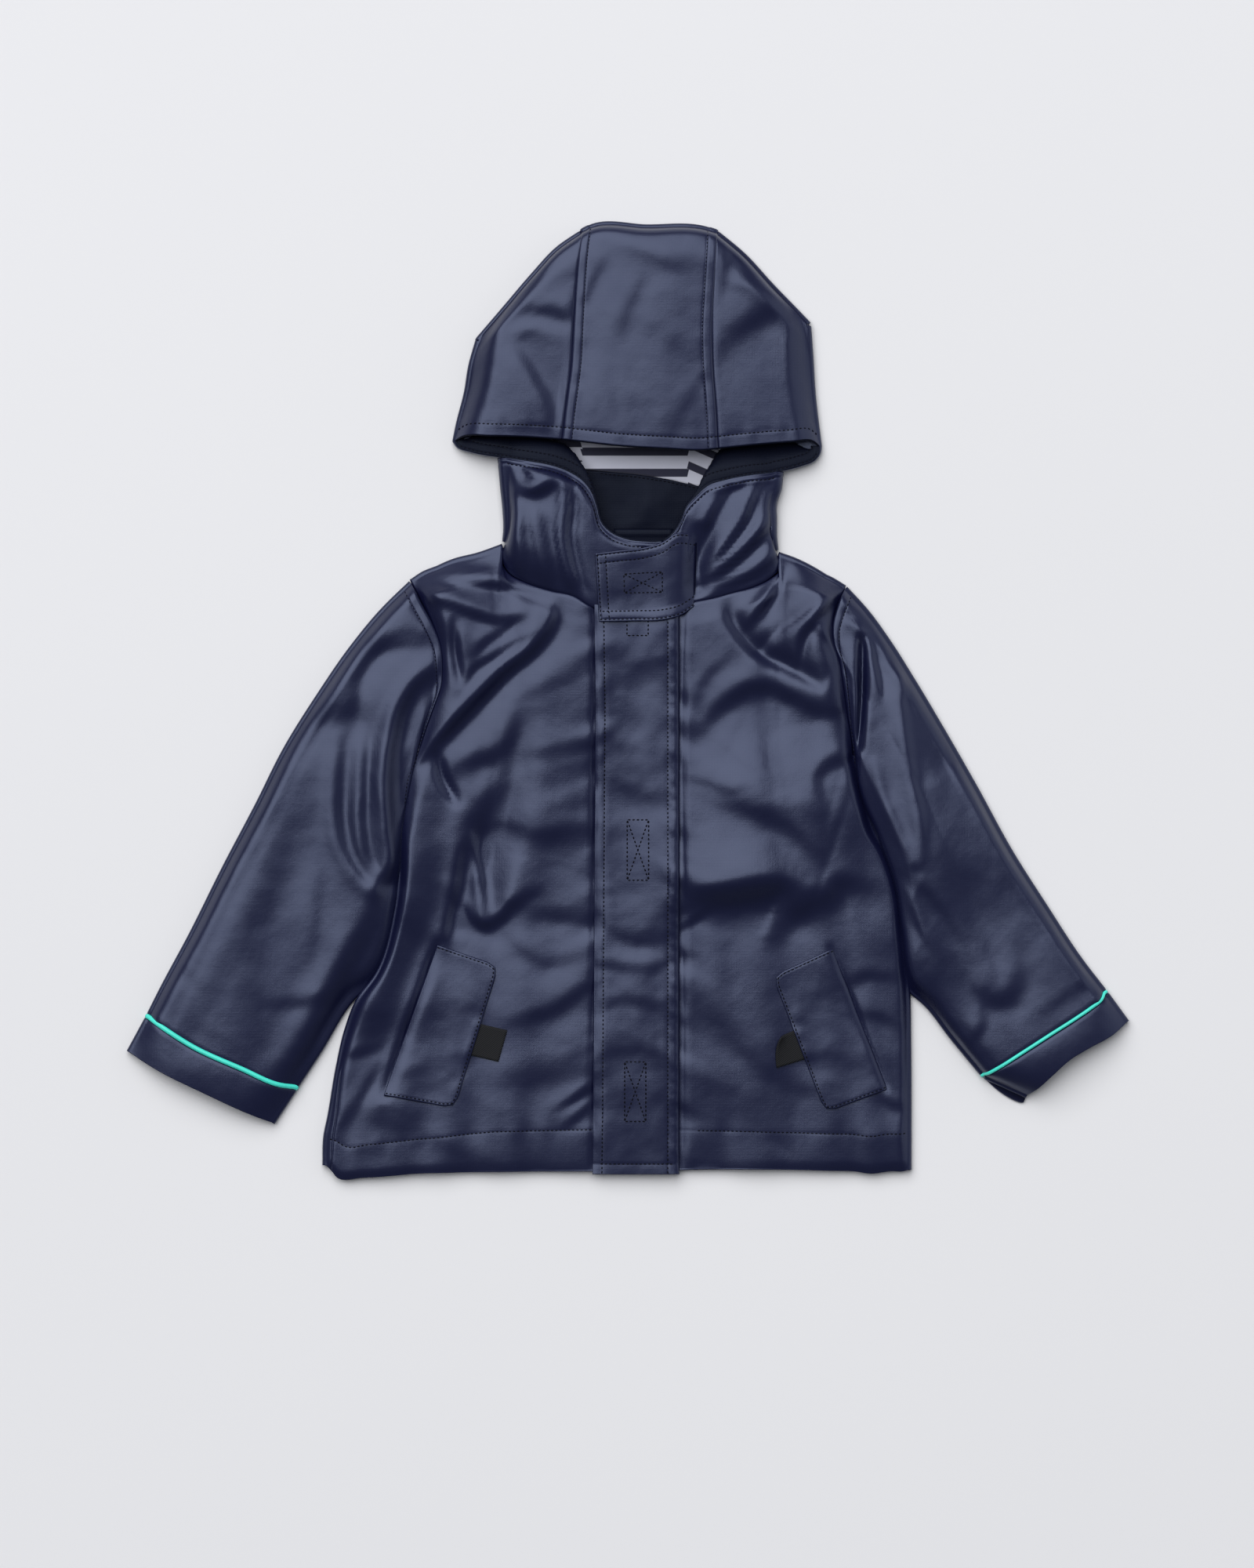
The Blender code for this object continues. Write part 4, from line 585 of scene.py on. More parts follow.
def shares_of(length, pitch, start=(0.0,), end=(0.0,)):
    """Shares along a length: at set distances from its two ends, evenly spaced between them."""
    inner = length - start[-1] - end[-1]
    count = max(2, round(inner / pitch))
    middle = np.linspace(start[-1], length - end[-1], count + 1)[1:-1]
    last = [length - distance for distance in reversed(end)]
    return np.concatenate((start, middle, last)) / length


def plan_normals(points, turn):
    """Unit plan directions square to a line of points; turn is +1 for its left, -1 for its right."""
    along = np.gradient(points[:, :2], axis=0)
    along /= np.maximum(np.linalg.norm(along, axis=1), 1e-9)[:, None]
    return turn * np.column_stack((-along[:, 1], along[:, 0]))


def inset(points, distance, turn):
    """Points moved sideways in plan, each by the same distance or by its own."""
    moved = points.copy()
    moved[:, :2] += distance * plan_normals(points, turn)
    return moved


def inset_edge(line, turn, distance):
    """The same for a side."""
    reach = np.broadcast_to(distance, len(line[0]))[:, None]
    return line[0], inset(line[1], reach, turn)


def at_height(points, height):
    """The points with their heights replaced."""
    flat = np.array(points, float)
    flat[..., 2] = height
    return flat


def patch(foot, head, left, right, u, v):
    """Coons patch between four sides at the shares u across and v along."""
    foot, head, left, right = at(foot, u), at(head, u), at(left, v), at(right, v)
    left[0], right[0] = foot[0], foot[-1]
    left[-1], right[-1] = head[0], head[-1]
    u = u[None, :, None]
    v = v[:, None, None]
    ruled = (1 - v) * foot[None] + v * head[None] + (1 - u) * left[:, None] + u * right[:, None]
    corners = (1 - u) * (1 - v) * foot[0] + u * (1 - v) * foot[-1]
    corners = corners + (1 - u) * v * head[0] + u * v * head[-1]
    return ruled - corners


def resample(points, shares):
    """Smooth values at shares of the way along the first axis of evenly spaced points."""
    last = len(points) - 1
    place = np.clip(shares, 0.0, 1.0) * last
    cell = np.minimum(place.astype(int), last - 1)
    t = (place - cell).reshape((-1,) + (1,) * (points.ndim - 1))
    slope = np.gradient(points, axis=0)
    value = (2 * t**3 - 3 * t**2 + 1) * points[cell] + (3 * t**2 - 2 * t**3) * points[cell + 1]
    return value + (t**3 - 2 * t**2 + t) * slope[cell] + (t**3 - t**2) * slope[cell + 1]


def evened_patch(foot, head, left, right, u, v):
    """A Coons patch whose rows are evened out in plan, so that none crosses a corner."""
    coarse_u = np.linspace(0.0, 1.0, 17)
    coarse_v = np.linspace(0.0, 1.0, 27)
    coarse = patch(foot, head, left, right, coarse_u, coarse_v)
    plan = coarse[..., :2]
    for _ in range(25):
        plan[1:-1, 1:-1] = (plan[:-2, 1:-1] + plan[2:, 1:-1] + plan[1:-1, :-2] + plan[1:-1, 2:]) / 4
    fine = resample(np.swapaxes(resample(coarse, v), 0, 1), u)
    fine = np.swapaxes(fine, 0, 1)
    off = [(u, at(foot, u) - fine[0]), (u, at(head, u) - fine[-1]),
           (v, at(left, v) - fine[:, 0]), (v, at(right, v) - fine[:, -1])]
    return fine + patch(*off, u, v)


def spread_shares(u, v):
    """The shares across and along at each point of a grid."""
    return u[None, :] * np.ones((len(v), 1)), v[:, None] * np.ones((1, len(u)))


def ramp(distance, reach):
    """0 up to the edge, rising evenly to 1 at the reach."""
    return np.clip(distance / reach, 0.0, 1.0)


def ease(t):
    """0 up to 0, rising softly to 1 at 1."""
    t = np.clip(t, 0.0, 1.0)
    return t * t * (3.0 - 2.0 * t)


def bell(distance, middle, half_width):
    """1 at the middle, falling away on both sides."""
    return np.exp(-((distance - middle) / half_width)**2)


def edge_fade(share, band):
    """0 at both ends of a share, 1 beyond the band."""
    return ease(np.minimum(share, 1.0 - share) / band)


def run_from(grid, axis, last=False):
    """Each point's distance in plan along its grid line from the line's first or last point."""
    plan = grid[..., :2]
    step = np.linalg.norm(np.diff(plan, axis=axis), axis=2)
    shape = list(grid.shape[:2])
    shape[axis] = 1
    run = np.concatenate((np.zeros(shape), np.cumsum(step, axis=axis)), axis=axis)
    if last:
        run = np.take(run, [-1], axis=axis) - run
    return run


def across(distance, table):
    """The table's second column at the distances of its first."""
    return np.interp(distance, *np.transpose(table))


def noise(x, y, seed):
    """Smooth noise from -1 to 1 with about one bump for each unit of x and y."""
    values = np.random.default_rng(seed).uniform(-1.0, 1.0, (64, 64))
    i, j = np.floor(x).astype(int), np.floor(y).astype(int)
    s, t = x - i, y - j
    s, t = s**3 * (s * (6 * s - 15) + 10), t**3 * (t * (6 * t - 15) + 10)
    low = values[i % 64, j % 64] * (1 - s) + values[(i + 1) % 64, j % 64] * s
    high = values[i % 64, (j + 1) % 64] * (1 - s) + values[(i + 1) % 64, (j + 1) % 64] * s
    return low * (1 - t) + high * t


def crumple(grid, seed, size, height):
    """Slight unevenness of cloth at rest, over several sizes."""
    x, y = grid[..., 0] / size, grid[..., 1] / size
    turned = 0.8 * x - 0.6 * y, 0.6 * x + 0.8 * y
    total = noise(*turned, seed) + 0.5 * noise(2.1 * turned[0], 2.1 * turned[1], seed + 1)
    total += 0.25 * noise(4.3 * turned[0], 4.3 * turned[1], seed + 2)
    return height * total


def puckers(distance, run, seed, pitch, height, reach):
    """Small ripples square to a seam, dying away from it."""
    return height * noise(run / pitch, distance / 40.0, seed) * np.exp(-distance / reach)


FOLD_PARTS = 60


def fold_height(grid, folds):
    """Sum of the folds at the grid's points, each dying away at its ends and sides."""
    total = np.zeros(grid.shape[:2])
    rows, columns = np.indices(total.shape)
    for fold in folds:
        line = smooth_curve(fold.path, FOLD_PARTS)
        heading = np.gradient(line, axis=0)
        length = np.linalg.norm(heading, axis=1)[:, None]
        heading /= length
        away = grid[:, :, None, :2] - line[None, None]
        nearest = (away**2).sum(axis=3).argmin(axis=2)
        offset = away[rows, columns, nearest]
        ahead = heading[nearest]
        side = ahead[..., 0] * offset[..., 1] - ahead[..., 1] * offset[..., 0]
        along = (ahead * offset).sum(axis=2)
        width = np.where(side > 0, fold.left, fold.right)
        beyond = np.where(nearest == 0, np.maximum(-along, 0.0), 0.0)
        beyond = np.where(nearest == FOLD_PARTS, np.maximum(along, 0.0), beyond)
        place = np.clip((nearest + along / length[nearest, 0]) / FOLD_PARTS, 0.0, 1.0)
        fade = np.sin(math.pi * (0.08 + 0.84 * place))**0.6 * bell(beyond, 0.0, min(fold.left, fold.right))
        if isinstance(fold, Bend):
            total += 0.5 * fold.drop * fade * np.tanh(side / fold.band) * bell(side, 0.0, width)
        else:
            total += fold.rise * fade * np.exp(-np.abs(side / width)**1.8)
    return total


def lifted(grid, extra, least=None):
    """The grid raised by extra, and kept above a least height away from its low edges."""
    raised = grid.copy()
    raised[..., 2] += extra
    if least is not None:
        raised[..., 2] = np.maximum(raised[..., 2], np.minimum(grid[..., 2], least))
    return raised


def fold_strip(upper, lower_z, outward, reach=None):
    """Cloth rolled round from an upper edge to the layer under it, at the height lower_z."""
    low = np.broadcast_to(lower_z, len(upper))
    radius = (upper[:, 2] - low) / 2
    sideways = radius if reach is None else reach
    rows = []
    for turn in np.linspace(0.0, math.pi, 9):
        row = upper.copy()
        row[:, :2] += outward * (sideways * math.sin(turn))[:, None]
        row[:, 2] = low + radius * (1.0 + math.cos(turn))
        rows.append(row)
    return np.array(rows)


def slide(grid, line, wanted, free):
    """The grid with one of its rows moved along the columns to a wanted distance from the first.

    Rows before it are spread evenly, and those after it up to the distance free.
    """
    run = run_from(grid, 0)
    moved = grid.copy()
    for column in range(grid.shape[1]):
        place = run[:, column]
        here = place[line]
        there = wanted[column]
        new = np.interp(place, (0.0, here, free, place[-1]), (0.0, there, free, place[-1]))
        for axis in range(3):
            moved[:, column, axis] = np.interp(new, place, grid[:, column, axis])
    return moved


# ---------------------------------------------------------------- cloth shells

def add_piece(name, mesh, finishes, node=None):
    """A finished piece of the coat, standing for a node of the frame unless it is sewing."""
    mesh.shade_smooth()
    for finish in finishes:
        mesh.materials.append(finish)
    item = bpy.data.objects.new(name, mesh)
    bpy.context.scene.collection.objects.link(item)
    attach(item, "root")
    if node is not None:
        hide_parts(node)
    return item


def shell(name, grids, wall, finishes, node):
    """One piece of cloth from grids that share edges; finishes are its outside and its inside.

    A grid given with a 1 takes the second pair of finishes, such as a facing.
    """
    mesh = bpy.data.meshes.new(name)
    form = bmesh.new()
    for entry in grids:
        grid, pair = entry if isinstance(entry, tuple) else (entry, 0)
        points = [[form.verts.new(Vector(p) * MM) for p in row] for row in grid]
        for low, high in zip(points, points[1:]):
            for a, b, c, d in zip(low, low[1:], high[1:], high):
                face = form.faces.new((a, b, c, d))
                face.material_index = 2 * pair
    bmesh.ops.remove_doubles(form, verts=form.verts, dist=0.01 * MM)
    bmesh.ops.dissolve_degenerate(form, edges=form.edges, dist=0.005 * MM)
    bmesh.ops.recalc_face_normals(form, faces=form.faces)
    top = max(form.faces, key=lambda face: face.calc_center_median().z)
    top.normal_update()
    if top.normal.z < 0:
        bmesh.ops.reverse_faces(form, faces=form.faces)
    form.to_mesh(mesh)
    form.free()
    item = add_piece(name, mesh, finishes, node)
    thickness = item.modifiers.new("cloth", "SOLIDIFY")
    thickness.thickness = wall * MM
    thickness.offset = 0.0
    thickness.material_offset = 1
    return item


def surfaces(items):
    """The items' finished surfaces, ready to be measured."""
    bpy.context.view_layer.update()
    graph = bpy.context.evaluated_depsgraph_get()
    return [BVHTree.FromObject(item, graph) for item in items]


def top_under(x, y, trees):
    """Place and normal of the uppermost of the surfaces at a place in plan."""
    best = None
    above = Vector((x, y, 100.0)) * MM
    for tree in trees:
        hit, normal, _, _ = tree.ray_cast(above, Vector((0.0, 0.0, -1.0)))
        if hit is not None and (best is None or hit.z > best[0].z):
            best = (hit, normal)
    return best


def laid(grid, items, wall, smoothing):
    """The grid laid on the items, evened as stiff cloth is, at least half a wall above them."""
    trees = surfaces(items)
    ground = np.zeros(grid.shape[:2])
    for row, column in np.ndindex(ground.shape):
        found = top_under(grid[row, column, 0], grid[row, column, 1], trees)
        ground[row, column] = found[0].z / MM if found else np.nan
    for row in range(len(ground)):
        known = np.isfinite(ground[row])
        if known.any():
            ground[row] = np.interp(np.arange(len(known)), np.flatnonzero(known), ground[row][known])
    held = np.flatnonzero(np.isfinite(ground).all(axis=1))
    ground = ground[held[np.abs(np.arange(len(ground))[:, None] - held).argmin(axis=1)]]
    height = ground.copy()
    for _ in range(smoothing):
        spread = np.pad(height, 1, mode="edge")
        around = (spread[:-2, 1:-1] + spread[2:, 1:-1] + spread[1:-1, :-2] + spread[1:-1, 2:]) / 4
        height = np.maximum(0.4 * height + 0.6 * around, ground)
    resting = grid.copy()
    resting[..., 2] += height + wall / 2 + 0.1
    return resting


# ---------------------------------------------------------------- finishes

def new_finish(name, colour, roughness):
    """A new material with its nodes, links and shader."""
    finish = bpy.data.materials.new(name)
    finish.use_nodes = True
    shader = finish.node_tree.nodes["Principled BSDF"]
    shader.inputs["Base Color"].default_value = (*colour, 1.0)
    shader.inputs["Roughness"].default_value = roughness
    return finish, finish.node_tree.nodes, finish.node_tree.links, shader


def object_place(nodes, links, turn=0.0):
    """The place on the piece, turned about Z."""
    place = nodes.new("ShaderNodeTexCoord")
    mapping = nodes.new("ShaderNodeMapping")
    mapping.inputs["Rotation"].default_value = (0.0, 0.0, turn)
    links.new(place.outputs["Object"], mapping.inputs["Vector"])
    return mapping.outputs["Vector"]


def noise_at(nodes, links, vector, scale, detail=3.0, roughness=0.5):
    texture = nodes.new("ShaderNodeTexNoise")
    texture.inputs["Scale"].default_value = scale
    texture.inputs["Detail"].default_value = detail
    texture.inputs["Roughness"].default_value = roughness
    links.new(vector, texture.inputs["Vector"])
    return texture.outputs["Fac"]


def remap(nodes, links, value, low, high):
    spread = nodes.new("ShaderNodeMapRange")
    spread.inputs["To Min"].default_value = low
    spread.inputs["To Max"].default_value = high
    links.new(value, spread.inputs["Value"])
    return spread.outputs["Result"]


def bump_chain(nodes, links, shader, layers):
    """Bumps one on the other; each layer is (height socket, strength, depth in mm)."""
    before = None
    for height, strength, depth in layers:
        bump = nodes.new("ShaderNodeBump")
        bump.inputs["Strength"].default_value = strength
        bump.inputs["Distance"].default_value = depth * MM
        links.new(height, bump.inputs["Height"])
        if before is not None:
            links.new(before, bump.inputs["Normal"])
        before = bump.outputs["Normal"]
    links.new(before, shader.inputs["Normal"])


def two_tone(nodes, links, shader, fac, colour, low, high):
    """The colour, varied between a low and a high share of itself."""
    mix = nodes.new("ShaderNodeMix")
    mix.data_type = "RGBA"
    mix.inputs["A"].default_value = (*[low * part for part in colour], 1.0)
    mix.inputs["B"].default_value = (*[high * part for part in colour], 1.0)
    links.new(fac, mix.inputs["Factor"])
    links.new(mix.outputs["Result"], shader.inputs["Base Color"])


def knit_pattern(nodes, links, pitch):
    """The fine grid of the knit that shows through a coating, by object place."""
    parts = []
    for turn in (0.0, math.pi / 2):
        wave = nodes.new("ShaderNodeTexWave")
        wave.inputs["Scale"].default_value = 1.0 / (pitch * MM) / 3.0
        wave.inputs["Distortion"].default_value = 1.5
        wave.inputs["Detail"].default_value = 1.0
        links.new(object_place(nodes, links, turn), wave.inputs["Vector"])
        parts.append(wave.outputs["Fac"])
    both = nodes.new("ShaderNodeMath")
    both.operation = "ADD"
    links.new(parts[0], both.inputs[0])
    links.new(parts[1], both.inputs[1])
    return both.outputs["Value"]


def coated_cloth_finish(name, colour, roughness):
    """Polyurethane film on a knit: satin, with soft unevenness and a faint grid of the knit."""
    finish, nodes, links, shader = new_finish(name, colour, roughness)
    place = object_place(nodes, links)
    broad = noise_at(nodes, links, place, 38.0)
    fine = noise_at(nodes, links, place, 1500.0, 2.0)
    wrinkle = noise_at(nodes, links, place, 90.0, 4.0, 0.55)
    two_tone(nodes, links, shader, broad, colour, 0.9, 1.12)
    links.new(remap(nodes, links, broad, roughness - 0.05, roughness + 0.06), shader.inputs["Roughness"])
    bump_chain(nodes, links, shader, (
        (wrinkle, 0.35, 0.6), (knit_pattern(nodes, links, 1.1), 0.18, 0.05), (fine, 0.25, 0.05)))
    shader.inputs["IOR"].default_value = 1.56
    shader.inputs["Specular IOR Level"].default_value = 0.64
    shader.inputs["Specular Tint"].default_value = (0.59, 0.69, 1.0, 1.0)
    return finish


def matt_cloth_finish(name, colour, roughness):
    """Uncoated side or matt coating: the knit shows, with little gloss."""
    finish, nodes, links, shader = new_finish(name, colour, roughness)
    place = object_place(nodes, links)
    broad = noise_at(nodes, links, place, 60.0)
    two_tone(nodes, links, shader, broad, colour, 0.85, 1.2)
    bump_chain(nodes, links, shader, (
        (knit_pattern(nodes, links, 0.8), 0.4, 0.12), (noise_at(nodes, links, place, 900.0), 0.3, 0.08)))
    shader.inputs["Specular IOR Level"].default_value = 0.13
    shader.inputs["Specular Tint"].default_value = (0.68, 0.80, 1.0, 1.0)
    return finish


def striped_jersey_finish():
    """Single jersey with navy stripes; V of the piece's UV map counts the stripes."""
    finish, nodes, links, shader = new_finish("striped_jersey", WHITE_YARN, 0.85)
    layout = nodes.new("ShaderNodeUVMap")
    layout.uv_map = "stripes"
    parts = nodes.new("ShaderNodeSeparateXYZ")
    links.new(layout.outputs["UV"], parts.inputs["Vector"])
    share = nodes.new("ShaderNodeMath")
    share.operation = "FRACT"
    links.new(parts.outputs["Y"], share.inputs[0])
    colours = nodes.new("ShaderNodeValToRGB")
    stops = colours.color_ramp.elements
    stops[0].color = (*NAVY_YARN, 1.0)
    stops[1].position = 0.355
    stops[1].color = (*NAVY_YARN, 1.0)
    for position, yarn in ((0.385, WHITE_YARN), (0.97, WHITE_YARN), (1.0, NAVY_YARN)):
        stop = stops.new(position)
        stop.color = (*yarn, 1.0)
    links.new(share.outputs["Value"], colours.inputs["Fac"])
    links.new(colours.outputs["Color"], shader.inputs["Base Color"])
    wales = nodes.new("ShaderNodeTexWave")
    wales.inputs["Scale"].default_value = 55.0
    wales.inputs["Distortion"].default_value = 0.6
    links.new(layout.outputs["UV"], wales.inputs["Vector"])
    place = object_place(nodes, links)
    bump_chain(nodes, links, shader, (
        (wales.outputs["Fac"], 0.5, 0.15), (noise_at(nodes, links, place, 120.0), 0.4, 0.8)))
    shader.inputs["Sheen Weight"].default_value = 0.3
    return finish


def piping_finish():
    """Smooth piping with a very fine weave."""
    finish, nodes, links, shader = new_finish("piping_cord", MINT, 0.42)
    place = object_place(nodes, links)
    weave = noise_at(nodes, links, place, 1400.0, 2.0)
    broad = noise_at(nodes, links, place, 70.0)
    two_tone(nodes, links, shader, broad, MINT, 0.88, 1.08)
    bump_chain(nodes, links, shader, ((weave, 0.3, 0.08),))
    return finish


def twill_finish():
    """Cotton twill: slanted ribs about a millimetre apart."""
    finish, nodes, links, shader = new_finish("twill_tape", BLACK_TAPE, 0.8)
    wave = nodes.new("ShaderNodeTexWave")
    wave.inputs["Scale"].default_value = 300.0
    wave.inputs["Distortion"].default_value = 1.0
    links.new(object_place(nodes, links, 0.9), wave.inputs["Vector"])
    place = object_place(nodes, links)
    two_tone(nodes, links, shader, wave.outputs["Fac"], BLACK_TAPE, 1.0, 2.4)
    bump_chain(nodes, links, shader, (
        (wave.outputs["Fac"], 0.8, 0.2), (noise_at(nodes, links, place, 1200.0), 0.4, 0.1)))
    shader.inputs["Specular IOR Level"].default_value = 0.25
    return finish


def thread_finish():
    """Dull twisted thread, darker than the cloth with painted shade of the needle holes."""
    finish, nodes, links, shader = new_finish("sewing_thread", THREAD_NAVY_AND_HOLE_SHADE, 0.8)
    place = object_place(nodes, links)
    twist = noise_at(nodes, links, place, 2500.0, 1.0)
    bump_chain(nodes, links, shader, ((twist, 0.5, 0.05),))
    two_tone(nodes, links, shader, twist, THREAD_NAVY_AND_HOLE_SHADE, 0.7, 1.5)
    shader.inputs["Specular IOR Level"].default_value = 0.15
    return finish


def floor_finish():
    """Plain pale table top."""
    finish, nodes, links, shader = new_finish("table_top", FLOOR, 0.75)
    place = object_place(nodes, links)
    broad = noise_at(nodes, links, place, 1.6, 2.0)
    two_tone(nodes, links, shader, broad, FLOOR, 0.985, 1.012)
    bump_chain(nodes, links, shader, ((noise_at(nodes, links, place, 220.0), 0.05, 0.2),))
    return finish


coated = coated_cloth_finish("coated_cloth", NAVY, 0.34)
backing = matt_cloth_finish("cloth_backing", BACKING_GREY, 0.9)
# The facing's darker colour is painted shade, for the inside of the hood's mouth
facing = matt_cloth_finish("cloth_facing", NAVY_INSIDE_AND_SHADE, 0.5)
jersey = striped_jersey_finish()
mint = piping_finish()
twill = twill_finish()
thread = thread_finish()


# ---------------------------------------------------------------- body

def rolled_side(side_rows, turn):
    """The body's side, inset so that its roll reaches the outline, and the heights under the roll."""
    side = edge(side_rows[::-1])
    z = side[1][:, 2]
    lower = np.interp(z, (FOLD_LAYER, BODY_SIDE), (TABLE, 3.4))
    return inset_edge(side, turn, (z - lower) / 2 + CLOTH / 2), lower


def front_outline(side, hem_rows, armhole, shoulder, neck, turn):
    """The four sides of a front: hem, head, outer side and centre."""
    hole = drawn_to(edge(armhole[::-1]), start=side[1][-1], power=6)
    outer = joined(side, ARMHOLE_SHARE, hole)
    shoulder_line = edge(shoulder)
    reach = np.interp(shoulder_line[0], (0.0, 0.3, 1.0), (0.2, FOLD_REACH, FOLD_REACH))
    shoulder_line = inset_edge(shoulder_line, turn, reach)
    shoulder_line[1][0] = hole[1][-1]
    neck_line = drawn_to(edge(neck), start=shoulder_line[1][-1])
    head = joined(shoulder_line, SHOULDER_SHARE, neck_line)
    foot = drawn_to(edge(hem_rows), start=side[1][0], power=30)
    centre = edge(tuple((neck[-1][0], y, z) for y, z in CENTRE_FRONT))
    return foot, head, outer, centre


def side_seam_placed(grid):
    """The left front with its side seam's line of points where the seam shows near the hem."""
    y = grid[:, 0, 1]
    seam_now = run_from(grid, 1)[:, SIDE_SEAM_COLUMN]
    seam_place = across(y, SIDE_SEAM_PLACE)
    wanted = seam_place + (seam_now - seam_place) * ramp(y + 240.0, 40.0)
    return np.swapaxes(slide(np.swapaxes(grid, 0, 1), SIDE_SEAM_COLUMN, wanted, 30.0), 0, 1)


def front_height(grid, u, v, folds, turn, seed):
    """How far a front rises: its swell, folds and puckers, and the sunk lines of its sewing."""
    across_u, along_v = spread_shares(u, v)
    from_side = run_from(grid, 1)
    from_hem = run_from(grid, 0)
    from_top = run_from(grid, 0, last=True)
    roll = np.sin(0.5 * math.pi * ramp(from_side, np.interp(v, (0.5, 0.64), (6.0, 15.0))[:, None]))
    rise = across(along_v, BODY_RISE) * roll
    rise *= np.maximum(1.0 - across_u, 0.0)**np.interp(along_v, (0.6, 0.76), (1.0, 1.5))
    pinned = edge_fade(across_u, 0.045) * ramp(from_top, 14.0) * np.clip(from_hem / 20.0, 0.25, 1.0)
    height = rise + fold_height(grid, folds) * pinned
    uneven = crumple(grid, seed, 46.0, 0.35) + crumple(grid, seed + 3, 17.0, 0.11)
    height += uneven * np.minimum(pinned, roll)
    if turn < 0:
        height[:, SIDE_SEAM_COLUMN] -= 1.1 * ramp(-232.0 - grid[:, 0, 1], 12.0)
    hem_gap = np.abs(from_hem - from_hem[HEM_ROW])
    height += puckers(hem_gap, grid[..., 0], seed + 5, 9.0, 0.5, 9.0) * roll
    height -= 0.12 * bell(hem_gap, 0.0, 0.8) * ramp(from_side, 6.0)
    height += puckers(from_hem, grid[..., 0], seed + 7, 26.0, 0.9, 18.0) * roll
    height += across(from_top, SUNK)
    to_flap = turn * (grid[..., 0] - (FLAP_LEFT_X if turn < 0 else FLAP_RIGHT_X))
    height += puckers(np.abs(to_flap), grid[..., 1] + 0.35 * to_flap, seed + 6, 11.0, 1.3, 11.0)
    valley = -0.8 if turn < 0 else 1.2
    return height - 2.0 * bell(to_flap, valley, 2.2) * ramp(from_hem, 6.0)


def body_front(side_rows, hem_rows, hem_depths, armhole, shoulder, neck, folds, turn, seed):
    """A front with its side and shoulder rolled round to the back. turn is +1 on the right."""
    u = joined_shares(shares_of(FRONT_SHOULDER_WIDTH, PITCH, SIDE_STEPS), SHOULDER_SHARE,
                      shares_of(FRONT_NECK_WIDTH, PITCH, end=EDGE_STEPS[:3])[1:])
    v = joined_shares(shares_of(SIDE_LENGTH, PITCH, HEM_STEPS), ARMHOLE_SHARE,
                      shares_of(ARMHOLE_LENGTH, PITCH, end=(0.0, 0.6, 1.4, 2.8))[1:])
    side, lower = rolled_side(side_rows, turn)
    grid = evened_patch(*front_outline(side, hem_rows, armhole, shoulder, neck, turn), u, v)
    grid = slide(grid, HEM_ROW, across(grid[0, :, 0], hem_depths), 60.0)
    if turn < 0:
        grid = side_seam_placed(grid)
    grid = lifted(grid, front_height(grid, u, v, folds, turn, seed), FOLD_LAYER)

    side_count = int(np.searchsorted(v, ARMHOLE_SHARE - 1e-9)) + 1
    side_low = np.interp(v[:side_count] / ARMHOLE_SHARE, np.linspace(0, 1, len(lower)), lower)
    side_roll = fold_strip(grid[:side_count, 0], side_low, plan_normals(grid[:side_count, 0], -turn))
    head_count = int(np.searchsorted(u, SHOULDER_SHARE - 1e-9)) + 1
    top_row = grid[-1, :head_count]
    shoulder_roll = fold_strip(top_row, TABLE, plan_normals(top_row, -turn))
    return grid, side_roll, shoulder_roll


def back_side(rolls, armhole):
    """One side of the back: under a front's side roll, then along the armhole's lower edge."""
    low_side = rolls[1][-1]
    hole = drawn_to(edge(armhole[::-1]), start=low_side[-1], power=6)
    hole[1][:, 2] = np.interp(hole[0], (0.0, 0.3), (low_side[-1][2], TABLE))
    return joined(even_side(low_side), ARMHOLE_SHARE, hole)


def back_panel(left_rolls, right_rolls):
    """The back on the table, edge to edge with the rolled sides and shoulders of the fronts."""
    u = shares_of(BACK_WIDTH, 1.5 * HIDDEN_PITCH)
    v = joined_shares(shares_of(SIDE_LENGTH, HIDDEN_PITCH), ARMHOLE_SHARE,
                      shares_of(ARMHOLE_LENGTH, HIDDEN_PITCH)[1:])
    left, right = back_side(left_rolls, ARMHOLE_LEFT), back_side(right_rolls, ARMHOLE_RIGHT)
    left_top, right_top = left_rolls[2][-1].copy(), right_rolls[2][-1][::-1].copy()
    left_top[0] = left[1][-1]
    right_top[-1] = right[1][-1]
    neck = edge(tuple((x, y, TABLE) for x, y in BACK_NECK))
    neck = drawn_to(neck, left_top[-1], right_top[0], 6)
    neck_share = 1.0 - BACK_SHOULDER_SHARE / (1.0 - BACK_SHOULDER_SHARE)
    head = joined(even_side(left_top), BACK_SHOULDER_SHARE, joined(neck, neck_share, even_side(right_top)))
    hem = edge(tuple((x, y, TABLE) for x, y, _ in HEM_LEFT[:-1] + HEM_RIGHT[-2::-1]))
    hem = drawn_to(hem, left[1][0], right[1][0], 60)
    grid = evened_patch(hem, head, left, right, u, v)
    away = np.minimum(run_from(grid, 1), run_from(grid, 1, last=True))
    lift = np.maximum(grid[:, [0, -1], 2].max(axis=1)[:, None], TABLE)
    grid[..., 2] = TABLE + (lift - TABLE) * ease(1.0 - away / 24.0)
    grid[:, 0, 2] = height_along(left, v)
    grid[:, -1, 2] = height_along(right, v)
    return grid


# ---------------------------------------------------------------- sleeves and cuffs

